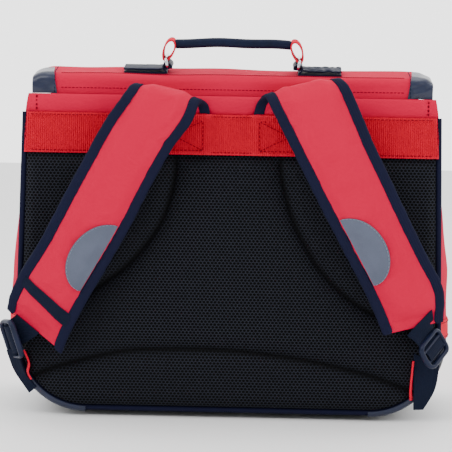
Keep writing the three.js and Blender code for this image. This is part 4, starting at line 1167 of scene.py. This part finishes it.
# Inner edge and outer edge, each as x, z and out. X is a share of the bag's half width, z of the
# height of the root and out of STRAP_STAND.
STRAP_ROWS = {
    "left": [
        [0.110, 1.000, 0.00, 0.449, 1.000, 0.00], [0.112, 1.024, 0.07, 0.450, 1.044, 0.09],
        [0.134, 1.038, 0.32, 0.446, 1.084, 0.38], [0.152, 1.034, 0.63, 0.460, 1.085, 0.71],
        [0.187, 0.974, 0.88, 0.493, 1.051, 0.94], [0.267, 0.896, 0.96, 0.561, 0.983, 1.02],
        [0.362, 0.778, 0.96, 0.656, 0.864, 1.02], [0.467, 0.632, 0.88, 0.766, 0.721, 0.94],
        [0.574, 0.500, 0.77, 0.874, 0.580, 0.77], [0.669, 0.385, 0.68, 0.966, 0.477, 0.62],
        [0.744, 0.283, 0.62, 1.014, 0.405, 0.50], [0.776, 0.226, 0.58, 1.030, 0.362, 0.42],
    ],
    "right": [
        [0.113, 1.000, 0.00, 0.453, 1.000, 0.00], [0.118, 1.026, 0.07, 0.463, 1.046, 0.09],
        [0.141, 1.052, 0.35, 0.488, 1.108, 0.41], [0.165, 1.056, 0.69, 0.506, 1.113, 0.77],
        [0.194, 1.020, 0.94, 0.535, 1.090, 0.99], [0.256, 0.938, 1.05, 0.574, 1.033, 1.08],
        [0.340, 0.828, 1.08, 0.641, 0.928, 1.08], [0.434, 0.703, 1.02, 0.731, 0.804, 0.99],
        [0.532, 0.579, 0.91, 0.827, 0.672, 0.85], [0.617, 0.471, 0.80, 0.918, 0.552, 0.70],
        [0.687, 0.375, 0.71, 0.995, 0.451, 0.55], [0.731, 0.302, 0.63, 1.002, 0.345, 0.42],
    ],
}
strap_seat = 2 * GAP + STRAP_FLOOR + FLANGE / 2 + GAP + BINDING_WALL
root_z = webbing_high.z + GAP


class Course:
    """Run of a strap: places and directions at any length along it."""

    def __init__(self, word):
        self.side = sides[word]
        rows = np.array(STRAP_ROWS[word])
        scale = np.array([self.side * low_half, root_z, STRAP_STAND])
        edges = []
        for part in (rows[:, :3], rows[:, 3:]):
            line = spline(part * scale, 40)
            edges.append(np.stack([line[:, 0], back_face - strap_seat - line[:, 2], line[:, 1]], axis=1))
        self.inner, self.outer = edges
        self.middle = (self.inner + self.outer) / 2
        self.run = run_lengths(self.middle)
        self.length = self.run[-1]

    def at(self, runs):
        """Middle, across, along, normal and width at some lengths."""
        runs = np.atleast_1d(np.asarray(runs, float))

        def pick(line, where):
            inside = np.clip(where, 0, self.length)
            found = np.stack([np.interp(inside, self.run, line[:, k]) for k in range(3)], axis=1)
            tail = unit(line[-1] - line[-12])
            return found + np.outer(np.clip(where - self.length, 0, None), tail)

        inner, outer = pick(self.inner, runs), pick(self.outer, runs)
        reach = 0.004
        along = pick(self.middle, runs + reach) - pick(self.middle, runs - reach)
        across = outer - inner
        width = np.linalg.norm(across, axis=1)
        across = unit(across)
        along = unit(along - across * (along * across).sum(axis=1, keepdims=True))
        normal = np.cross(along, across) * self.side
        return (inner + outer) / 2, across, along, normal, width


def strap_rise(distance, width):
    """Half the thickness of a strap at a distance from its nearest edge."""
    soft = ease((distance - BINDING_WIDTH * 0.75) / (width * 0.20))
    crown = 0.0008 * np.sin(math.pi * np.clip(distance / width, 0, 1))
    return FLANGE / 2 + (STRAP_THICK - FLANGE) / 2 * soft + crown


def strap_grids(course, count_long, count_wide):
    """Top and bottom faces of a strap, from its root to its lower end."""
    runs = np.linspace(0, course.length, count_long)
    middle, across, _, normal, width = course.at(runs)
    share = np.linspace(0, 1, count_wide)[None, :]
    distance = np.minimum(share, 1 - share) * width[:, None]
    from_end = np.minimum(course.length - runs - END_THIN, runs + ROOT_THICK)[:, None]
    thin = strap_rise(np.minimum(distance, np.clip(from_end, 0, None)), width[:, None])
    base = middle[:, None] + across[:, None] * ((share - 0.5) * width[:, None])[:, :, None]
    top = base + normal[:, None] * thin[:, :, None]
    bottom = base - normal[:, None] * thin[:, :, None]
    return top, bottom, runs


def strap_shell(name, top, bottom, runs):
    """Closed padded piece from its two faces, with UVs in metres."""
    first = np.cross(top[0, 1] - top[0, 0], top[1, 0] - top[0, 0])
    flipped = np.dot(first, top[5, 5] - bottom[5, 5]) < 0
    return two_faced(name, top, bottom, run_lengths(top[len(top) // 2]), runs, flipped)


# The cloth of each strap is sewn down along its edges and blown up a little by its foam.
SIM_FRAMES = 22
SIM_LIMIT = 0.0014
SIM_PRESSURE = 0.9
SEWN_SHARE = 0.11
# The cross tape presses the left strap flat between these distances from its end
TAPE_PRESS = (0.040, 0.027)


def settle_cloth(piece, pinned, pressure, frames):
    """Lets the cloth of a closed piece puff up between its sewn edges, and keeps that shape."""
    group = piece.vertex_groups.new(name="sewn")
    for index, weight in enumerate(pinned):
        if weight > 0:
            group.add([index], float(weight), "REPLACE")
    modifier = piece.modifiers.new("cloth", "CLOTH")
    cloth = modifier.settings
    cloth.quality = 6
    cloth.mass = 0.25
    cloth.tension_stiffness = 12
    cloth.compression_stiffness = 12
    cloth.shear_stiffness = 6
    cloth.bending_stiffness = 0.05
    cloth.use_pressure = True
    cloth.uniform_pressure_force = pressure
    cloth.shrink_min = -0.012
    cloth.vertex_group_mass = "sewn"
    cloth.effector_weights.gravity = 0.2
    modifier.collision_settings.use_collision = False
    scene = bpy.context.scene
    modifier.point_cache.frame_start = 1
    modifier.point_cache.frame_end = frames
    for frame_number in range(1, frames + 1):
        scene.frame_set(frame_number)
    evaluated = piece.evaluated_get(bpy.context.evaluated_depsgraph_get())
    mesh = evaluated.to_mesh()
    moved = np.zeros(len(mesh.vertices) * 3)
    mesh.vertices.foreach_get("co", moved)
    evaluated.to_mesh_clear()
    piece.modifiers.remove(modifier)
    piece.vertex_groups.remove(group)
    scene.frame_set(1)
    return moved.reshape(-1, 3)


courses = {word: Course(word) for word in sides}
for word, course in courses.items():
    top, bottom, runs = strap_grids(course, STRAP_LONG, STRAP_WIDE)
    piece = strap_shell(f"strap_cushion_{word}", top, bottom, runs)
    rest = np.concatenate([top.reshape(-1, 3), bottom.reshape(-1, 3)])
    columns = np.arange(STRAP_WIDE)
    edge_share = np.minimum(columns, STRAP_WIDE - 1 - columns) / (STRAP_WIDE - 1)
    held = np.broadcast_to(edge_share < SEWN_SHARE, (STRAP_LONG, STRAP_WIDE)).copy()
    held[:6] = True
    held[-2:] = True
    if word == "left":
        held[(runs > course.length - TAPE_PRESS[0]) & (runs < course.length - TAPE_PRESS[1])] = True
    pinned = np.concatenate([held.ravel(), held.ravel()]).astype(float)
    moved = settle_cloth(piece, pinned, SIM_PRESSURE, SIM_FRAMES)
    change = moved - rest
    size = np.linalg.norm(change, axis=1, keepdims=True)
    rest = rest + change * np.minimum(1, SIM_LIMIT / np.maximum(size, 1e-9))
    piece.data.vertices.foreach_set("co", rest.ravel())
    smooth = piece.modifiers.new("smooth", "SUBSURF")
    smooth.levels = 1
    smooth.render_levels = 1
    dress(piece, red_polyester, "red_cloth", f"strap_pad_{word}")


# Binding of the straps: grosgrain tape folded over each edge and sewn through, a little drawn in by
# its stitches. It stops where the plain lower end of the strap begins.
BINDING_STATIONS = 170


def binding_section():
    """Section of the folded tape, from the strap's edge inwards."""
    half = FLANGE / 2 + GAP + BINDING_WALL
    lip = half - 0.0003
    outside = [
        (BINDING_WIDTH, lip), (BINDING_WIDTH * 0.8, half + 0.0002), (BINDING_WIDTH * 0.5, half),
        (BINDING_WIDTH * 0.2, half * 0.92), (-0.0002, half * 0.72), (-0.0010, half * 0.4), (-0.0013, 0.0),
    ]
    outside += [(a, -b) for a, b in outside[-2::-1]]
    inner_half = (FLANGE / 2 + GAP) * 0.98
    inside = [
        (BINDING_WIDTH, -(lip - BINDING_WALL)), (BINDING_WIDTH * 0.2, -inner_half), (-0.0003, -FLANGE / 3),
        (-0.0003, FLANGE / 3), (BINDING_WIDTH * 0.2, inner_half), (BINDING_WIDTH, lip - BINDING_WALL),
    ]
    return np.array(outside + inside)


for word, course in courses.items():
    for edge_word, edge in (("inner", -1), ("outer", 1)):
        stop = course.length + (0.0015 if word == "left" else 0.0)
        runs = np.linspace(0, stop, BINDING_STATIONS)
        middle, across, _, normal, width = course.at(runs)
        drawn = 0.00022 * folds(runs, np.zeros(len(runs)), 0.011, 90 + edge)
        at = middle + across * (edge * width / 2 + edge * drawn)[:, None]
        pull = 1 - 0.25 * np.clip(1 - (stop - runs) / 0.004, 0, 1) ** 2
        section = binding_section()[None] * np.stack([pull, pull], axis=1)[:, None]
        binding = swept(f"strap_binding_{edge_word}_{word}", at, -edge * across, normal, section)
        dress(binding, navy_grosgrain, "navy_binding", f"strap_{edge_word}_binding_{word}")


def on_strap(course, run, distance, lift):
    """Place on a strap's outer face, at a distance from its inner edge and a lift above it."""
    middle, across, _, normal, width = course.at(run)
    nearest = np.minimum(distance, width - distance)
    from_end = np.clip(np.minimum(course.length - run - END_THIN, run + ROOT_THICK), 0, None)
    height = strap_rise(np.minimum(nearest, from_end), width) + lift
    return middle + across * (distance - width / 2)[:, None] + normal * height[:, None]


# Reflective patches: half ellipses of grey reflective cloth, sewn with a pale thread. Each has its
# straight side along the inner binding.
PATCH_LENGTH = 0.070
PATCH_WIDTH = 0.027
PATCH_FROM_END = 0.052
PATCH_WALL = 0.0008
PATCH_LIFT = 0.0025


def reflector_material():
    """Cloth with a film of glass beads: a flat blue-grey with a fine sparkle."""
    material, tree, shader = start_material("grey_reflective_cloth", Roughness=0.45)
    shader.inputs["Metallic"].default_value = 0.15
    place = add_node(tree, "ShaderNodeTexCoord").outputs["Object"]
    beads = noise_at(tree, place, 1500.0, 1.0)
    cloud = noise_at(tree, place, 60.0, 3.0)
    both = add_node(tree, "ShaderNodeMath", {"operation": "MULTIPLY_ADD", 1: 0.5}, {0: beads, 2: cloud})
    two_tone(tree, shader, both.outputs[0], "#343a4a", "#4b5265")
    return material


# Reflective cloth: glass beads on a grey polyester ground.
grey_reflector = reflector_material()


def patch_grid(course, lift):
    """Grid of a patch, with the run and the outermost distance of each of its rows."""
    offsets = np.linspace(-1, 1, 60)
    spread = np.sign(offsets) * (1 - (1 - np.abs(offsets)) ** 1.6) * PATCH_LENGTH / 2 * 0.995
    runs = course.length - PATCH_FROM_END - PATCH_LENGTH / 2 + spread
    reach = PATCH_WIDTH * np.sqrt(1 - (spread / (PATCH_LENGTH / 2)) ** 2)
    start = BINDING_WIDTH + GAP
    return np.array([
        on_strap(course, np.full(24, run), start + far * np.linspace(0, 1, 24), lift)
        for run, far in zip(runs, reach)
    ]), runs, start + reach


for word, course in courses.items():
    grid, _, _ = patch_grid(course, PATCH_LIFT)
    grid = grid if course.side < 0 else grid[:, ::-1]
    patch = cloth_wall(f"reflective_patch_{word}", grid, PATCH_WALL)
    dress(patch, grey_reflector, "grey_reflector", f"strap_reflector_{word}")


# Cross tape: navy polyester webbing laid slanting over the left strap near its lower end, where it
# covers a seam in the cloth. Its ends are caught under the bindings.
CROSS_WIDTH = 0.011
CROSS_FROM_END = 0.031
CROSS_SLANT = 0.016
CROSS_WALL = 0.0010

# Tight polyester webbing, woven with cross ribs and dyed dark navy.
navy_webbing = cloth_material(
    "navy_polyester_webbing", "#0f172c", "#090e1d", pitch=0.0013, bump=0.0004, patch=0.02,
    sheen=0.04, plies=1.6)

course = courses["left"]
rows = []
for share in np.linspace(0, 1, 9):
    run = course.length - CROSS_FROM_END - CROSS_WIDTH / 2 + CROSS_WIDTH * share
    width = course.at(run)[4][0]
    distance = np.linspace(BINDING_WIDTH * 0.6, width - BINDING_WIDTH * 0.6, 50)
    lift = 0.0018 - 0.0005 * abs(2 * share - 1) ** 4
    slanted = run + CROSS_SLANT * (0.5 - distance / width)
    rows.append(on_strap(course, slanted, distance, lift))
cross_tape = cloth_wall("cross_tape_left", np.array(rows), CROSS_WALL)
dress(cross_tape, navy_webbing, "navy_webbing", "strap_tape_left")


# Lower ends: a webbing tab sewn over the strap's end holds a ladder buckle, and the adjusting webbing
# runs from it down to a red tab in the corner seam.
TAB_WIDTH = 0.027
TAB_WALL = 0.0015
TAB_OVERLAP = {"left": 0.001, "right": 0.005}
TAB_SHIFT = {"left": 0.008, "right": 0.006}
TAB_SLANT = {"left": 0.0, "right": 0.7}
TAB_LIFT = 0.0034
BUCKLE_WIDE = 0.038
BUCKLE_HIGH = 0.027
BUCKLE_THICK = 0.0056
BUCKLE_RIM = 0.0040
BUCKLE_CORNER = 0.007
BAR_RADIUS = 0.0016
BAR_SHARES = (-0.17, 0.20)
CORNER_TAB_WALL = 0.0016
# How each buckle hangs: its middle as x, out, z, then its wide direction and the way down
BUCKLE_COLUMNS = ["middle", "wide", "down"]
BUCKLE_ROWS = {
    "left": [(-0.1970, 0.026, 0.0745), (-0.30, 0.10, 0.95), (0.62, 0.72, -0.30)],
    "right": [(0.1890, 0.022, 0.0725), (0.50, -0.70, 0.47), (0.26, 0.10, -0.96)],
}
# Edges of the adjusting webbing below each buckle as x, out, z, from its top to its sewn end
WEBBING_EDGES = {
    "left": [
        [(-0.2025, 0.024, 0.0640), (-0.1975, 0.008, 0.0430),
         (-0.1890, 0.006, 0.0290), (-0.1840, 0.005, 0.0215)],
        [(-0.1925, 0.029, 0.0670), (-0.1880, 0.014, 0.0450),
         (-0.1835, 0.009, 0.0350), (-0.1775, 0.007, 0.0270)],
    ],
    "right": [
        [(0.1725, 0.010, 0.0660), (0.1725, 0.011, 0.0480),
         (0.1735, 0.009, 0.0250), (0.1740, 0.006, 0.0125)],
        [(0.1960, 0.012, 0.0560), (0.1945, 0.010, 0.0400),
         (0.1920, 0.006, 0.0290), (0.1830, 0.004, 0.0125)],
    ],
}
# Visible edge of each red corner tab
TAB_EDGES = {
    "left": [(-0.1885, 0.014, 0.0610), (-0.1840, 0.016, 0.0500),
             (-0.1852, 0.014, 0.0415), (-0.1825, 0.010, 0.0340)],
    "right": [(0.1725, 0.013, 0.0590), (0.1712, 0.015, 0.0450),
              (0.1706, 0.012, 0.0300), (0.1712, 0.008, 0.0215)],
}


def off_back(rows):
    """Places in front of the back panel, from rows of x, out and z."""
    return np.array([(x, back_face - out, z) for x, out, z in rows])


def ruled_webbing(name, lines, wall, material, slot, *nodes):
    """Webbing between two edge lines."""
    share = np.linspace(0, 1, 16)[:, None, None]
    grid = lines[0][None] * (1 - share) + lines[1][None] * share
    return dress(cloth_wall(name, grid, wall), material, slot, *nodes)


def bezier(a, b, c, d, count):
    t = np.linspace(0, 1, count)[:, None]
    return a * (1 - t) ** 3 + b * 3 * t * (1 - t) ** 2 + c * 3 * t ** 2 * (1 - t) + d * t ** 3


for word, course in courses.items():
    side = course.side
    middle, across, along, normal, _ = [part[0] for part in course.at(course.length)]
    hang = dict(zip(BUCKLE_COLUMNS, BUCKLE_ROWS[word]))
    centre = off_back([hang["middle"]])[0]
    wide = unit(np.array([hang["wide"][0], -hang["wide"][1], hang["wide"][2]]))
    down = np.array([hang["down"][0], -hang["down"][1], hang["down"][2]])
    down = unit(down - wide * np.dot(down, wide))
    if np.dot(wide, across) < 0:
        wide = -wide
    start = middle + normal * TAB_LIFT + across * TAB_SHIFT[word]
    half = TAB_WIDTH / 2
    top_bar = centre - down * (BUCKLE_HIGH / 2 - BUCKLE_RIM / 2)
    lines = []
    for reach in (-half, half):
        root = start - along * (TAB_OVERLAP[word] + TAB_SLANT[word] * reach) + across * reach
        foot = top_bar + wide * reach
        lines.append(bezier(root, start + along * 0.004 + across * reach, foot - down * 0.006, foot, 24))
    lines = lines if side > 0 else lines[::-1]
    ruled_webbing(f"strap_tab_{word}", lines, TAB_WALL, navy_webbing, "navy_webbing", f"strap_tab_{word}")

    # The buckle: a rounded frame and two bars, with the webbing over the middle one
    out = np.cross(wide, down)
    out = out if np.dot(out, np.array([side, -1.0, 0.0])) > 0 else -out
    half_wide = BUCKLE_WIDE / 2 - BUCKLE_RIM / 2
    half_high = BUCKLE_HIGH / 2 - BUCKLE_RIM / 2
    outline = rounded([
        (-half_wide, -half_high), (half_wide, -half_high), (half_wide, half_high), (-half_wide, half_high),
    ], BUCKLE_CORNER, 8)
    line = centre + np.outer(outline[:, 0], wide) + np.outer(outline[:, 1], down)
    bulge = 0.0016 * (outline[:, 1] / (BUCKLE_HIGH / 2)) ** 2
    line = line + np.outer(bulge, out)
    rim_section = circle(1.0, 14) * np.array([BUCKLE_RIM / 2, BUCKLE_THICK / 2])
    frame_part = closed_sweep(f"buckle_frame_{word}", line, out, rim_section)
    bars = []
    for share in BAR_SHARES:
        ends_at = np.linspace(-1, 1, 12) * (BUCKLE_WIDE / 2 - BUCKLE_RIM * 0.6)
        bar_line = centre + down * share * BUCKLE_HIGH + np.outer(ends_at, wide)
        bars.append(swept(
            f"buckle_bar_{word}", bar_line, np.tile(down, (12, 1)), np.tile(out, (12, 1)),
            circle(BAR_RADIUS, 10)))
    for bar in bars:
        dress(bar, navy_plastic, "navy_plastic")
    dress(frame_part, navy_plastic, "navy_plastic", f"ladder_buckle_{word}")

    # The adjusting webbing: over the buckle's middle bar, then down to its end in the corner seam
    half = TAB_WIDTH / 2 - 0.0006
    over_bar = [
        centre - down * BUCKLE_HIGH * 0.32 - out * 0.0015,
        centre - down * BUCKLE_HIGH * 0.06 + out * 0.0024,
        centre + down * BUCKLE_HIGH * 0.16 + out * 0.0022,
        centre + down * BUCKLE_HIGH * 0.36 - out * 0.0015,
    ]
    lines = [spline([point + wide * reach for point in over_bar], 10) for reach in (-half, half)]
    lines = lines if side > 0 else lines[::-1]
    ruled_webbing(f"buckle_webbing_{word}", lines, TAB_WALL, navy_webbing, "navy_webbing")
    lines = [spline(off_back(rows), 12) for rows in WEBBING_EDGES[word]]
    lines = lines if side > 0 else lines[::-1]
    ruled_webbing(
        f"adjusting_webbing_{word}", lines, TAB_WALL, navy_webbing, "navy_webbing", f"lower_webbing_{word}")

    # The red tab in the corner seam, seen nearly edge on beside the webbing
    near = spline(off_back(TAB_EDGES[word]), 8)
    count = len(near)
    reach = 0.004 + 0.010 * np.sin(math.pi * np.linspace(0.08, 0.92, count))
    far = near + np.stack([np.full(count, side * 0.002), reach, np.zeros(count)], axis=1)
    far[:, 1] = np.minimum(far[:, 1], back_face - 0.0045)
    lines = [near, far] if side > 0 else [far, near]
    ruled_webbing(
        f"corner_tab_{word}", lines, CORNER_TAB_WALL, orange_red_tape, "red_webbing", f"lower_tab_{word}")


# Stitches: short lengths of twisted polyester thread that lie end to end in rows beside the seams.
# Each dips into the cloth at both ends.
STITCH_LENGTH = 0.0024
STITCH_SPACE = 0.0034
THREAD = 0.00032
ROOT_BOX_X = (0.026, 0.082)
BAND_STITCH_OUT = 0.0062

stitch_tree, stitch_in, stitch_out = node_tree(
    "stitch_rows", {"Stitch": "NodeSocketObject", "Material": "NodeSocketMaterial"})
stitch_info = add_node(
    stitch_tree, "GeometryNodeObjectInfo", {}, {"Object": stitch_in.outputs["Stitch"]})
turn_read = add_node(
    stitch_tree, "GeometryNodeInputNamedAttribute", {"data_type": "FLOAT_VECTOR", "Name": "turn"})
stitched = add_node(
    stitch_tree, "GeometryNodeInstanceOnPoints", {},
    {"Points": stitch_in.outputs["Geometry"], "Instance": stitch_info.outputs["Geometry"],
     "Rotation": turn_read.outputs[0]})
stitch_real = add_node(stitch_tree, "GeometryNodeRealizeInstances", {}, {"Geometry": stitched.outputs[0]})
stitch_dyed = add_node(
    stitch_tree, "GeometryNodeSetMaterial", {},
    {"Geometry": stitch_real.outputs[0], "Material": stitch_in.outputs["Material"]})
stitch_tree.links.new(stitch_dyed.outputs[0], stitch_out.inputs[0])


def stitch_mesh():
    """One stitch: a short thread that dips into the cloth at both ends."""
    share = np.linspace(-1, 1, 6)
    at = np.stack([share * STITCH_LENGTH / 2, np.zeros(6), -THREAD * 1.4 * share ** 4], axis=1)
    sideways = np.tile([0.0, 1.0, 0.0], (6, 1))
    upwards = np.tile([0.0, 0.0, 1.0], (6, 1))
    return swept("stitch", at, sideways, upwards, circle(THREAD, 6))


def stitch_points(line, normals, space=STITCH_SPACE):
    """Places along a line with the turn that lays a stitch along it, face up along the normals."""
    runs = run_lengths(line)
    count = max(int(runs[-1] / space), 1)
    where = (np.arange(count) + 0.5) * runs[-1] / count
    normals = np.broadcast_to(normals, line.shape)
    places, turns = [], []
    for run in where:
        here = np.array([np.interp(run, runs, line[:, k]) for k in range(3)])
        ahead = np.array([np.interp(run + 0.001, runs, line[:, k]) for k in range(3)])
        behind = np.array([np.interp(run - 0.001, runs, line[:, k]) for k in range(3)])
        normal = unit(np.array([np.interp(run, runs, normals[:, k]) for k in range(3)]))
        along = unit(ahead - behind)
        sideways = unit(np.cross(normal, along))
        turn = Matrix((along, sideways, np.cross(along, sideways))).transposed().to_euler()
        places.append(here)
        turns.append(tuple(turn))
    return places, turns


def sew(name, lines, material, slot):
    """Rows of stitches, each a line of points with its normals, as one plain piece."""
    places, turns = [], []
    for line, normals, *space in lines:
        some, angles = stitch_points(np.asarray(line, float), np.asarray(normals, float), *space)
        places += some
        turns += angles
    mesh = bpy.data.meshes.new(name)
    mesh.from_pydata([tuple(p) for p in places], [], [])
    layer = mesh.attributes.new("turn", "FLOAT_VECTOR", "POINT")
    layer.data.foreach_set("vector", [value for turn in turns for value in turn])
    source = bpy.data.objects.new(name, mesh)
    bpy.context.scene.collection.objects.link(source)
    stitch = stitch_mesh()
    sewn = baked(name, source, stitch_tree, {"Stitch": stitch, "Material": material})
    bpy.data.objects.remove(stitch)
    sewn.data.shade_smooth()
    return dress(sewn, material, slot)


def thread_material(name, colour):
    """Matt thread with a fine twist."""
    material, tree, shader = start_material(name, Roughness=0.6)
    place = add_node(tree, "ShaderNodeTexCoord").outputs["Object"]
    twist = add_node(tree, "ShaderNodeTexWave", {"Scale": 500.0}, {"Vector": place})
    raised(tree, shader, twist.outputs[1], 0.3, 0.0001)
    shader.inputs["Base Color"].default_value = linear(colour)
    shader.inputs["Specular IOR Level"].default_value = 0.1
    return material


# Twisted polyester sewing threads in three colours.
dark_red_thread = thread_material("dark_red_thread", "#6a0412")
navy_thread = thread_material("navy_thread", "#11152e")
pale_thread = thread_material("pale_grey_thread", "#6f7686")

backwards = np.array([0.0, -1.0, 0.0])


def back_line(rows, out):
    """Line on the back from a table of x and z, a distance in front of the panel."""
    return np.array([(x, back_face - out, z) for x, z in rows])


def straight(a, b, count=12):
    share = np.linspace(0, 1, count)[:, None]
    return np.array(a) * (1 - share) + np.array(b) * share


red_lines = []
webbing_out = WEBBING_OUT + RIB_DEPTH + 0.0004
edge_half = float(half_at(np.array(webbing_high.z))) - 0.006
for z, out in ((webbing_high.z - 0.0022, webbing_out + 0.001), (webbing_low.z + 0.0022, webbing_out)):
    red_lines.append((back_line([(-edge_half, z), (edge_half, z)], out), backwards))
for word, side in sides.items():
    near, far_x = side * ROOT_BOX_X[0], side * ROOT_BOX_X[1]
    low_z, high_z = webbing_low.z + 0.004, webbing_high.z - 0.006
    lift = webbing_out + 0.0022
    box = [(near, high_z), (far_x, high_z), (far_x, low_z), (near, low_z), (near, high_z)]
    for a, b in zip(box, box[1:]):
        red_lines.append((back_line([a, b], lift), backwards))
    red_lines.append((back_line([(near, high_z), (far_x, low_z)], lift), backwards))
    red_lines.append((back_line([(near, low_z), (far_x, high_z)], lift), backwards))
    bar_x = side * (top_half - 0.0105)
    for x in (bar_x, bar_x + 0.0008):
        row = back_line([(x, band_low.z + 0.001), (x, band_high.z - 0.001)], BAND_STITCH_OUT)
        red_lines.append((row, backwards))
    out_x = np.array([side, 0.0, 0.0])
    for z in (tape_low.z + 0.002, tape_high.z - 0.002):
        line = side_grid(side, z, z + 1e-5, 2, GAP + TAPE_WALL + 0.0003)[0]
        red_lines.append((line, out_x))
fold_out = FLAP_WALL / 2 + 0.0002
for row_index, space in ((4, STITCH_SPACE), (crease_row - 1, STITCH_LENGTH * 0.9)):
    heading = flap_path[row_index][2]
    normal = np.array([0.0, -math.sin(heading), math.cos(heading)])
    line = flap_grid(np.linspace(-flap_half + 0.026, flap_half - 0.026, 60), whole, fold_out)[:, row_index]
    red_lines.append((line, normal, space))
sew("red_seams", red_lines, dark_red_thread, "red_cloth")

navy_lines = []
for word, course in courses.items():
    for edge in (-1, 1):
        runs = np.linspace(0.004, course.length - 0.003, 200)
        middle, across, _, normal, width = course.at(runs)
        height = FLANGE / 2 + GAP + BINDING_WALL + 0.0002
        line = middle + across * (edge * (width / 2 - BINDING_WIDTH + 0.0014))[:, None] + normal * height
        navy_lines.append((line, normal))
    side = sides[word]
    guard_x = flap_half - GUARD_WIDTH + 0.0022
    inner_edge = flap_grid([side * guard_x, side * (guard_x + 0.001)], guard_end,
                           FLAP_WALL / 2 + GAP + GUARD_WALL + 0.0004)[0]
    normals = np.stack([np.zeros(guard_end), -np.sin(flap_path[:guard_end, 2]),
                        np.cos(flap_path[:guard_end, 2])], axis=1)
    navy_lines.append((inner_edge, normals))
    anchor_low, anchor_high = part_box(f"handle_anchor_{word}")
    if side < 0:
        near, far_x = anchor_high.x - 0.014, anchor_low.x + 0.0025
        lift = slope_out * (2.05 * LEATHER_WALL + 0.0007)
        reach = 0.0092
        corners = [slope_origin + np.array([x, 0, 0]) + slope_up * v + lift
                   for x, v in ((near, -reach), (far_x, -reach), (far_x, reach), (near, reach))]
        for a, b in ((0, 1), (1, 2), (2, 3), (3, 0), (0, 2), (1, 3)):
            navy_lines.append((straight(corners[a], corners[b]), slope_out))
sew("navy_seams", navy_lines, navy_thread, "navy_binding")

pale_lines = []
for word, course in courses.items():
    _, runs, reaches = patch_grid(course, 0.0)
    points = np.array([
        on_strap(course, np.array([run]), np.array([max(reach - 0.0013, BINDING_WIDTH)]), 0.0028)[0]
        for run, reach in zip(runs, reaches)
    ])
    normals = course.at(runs)[3]
    pale_lines.append((points, normals))
sew("pale_seams", pale_lines, pale_thread, "grey_reflector")
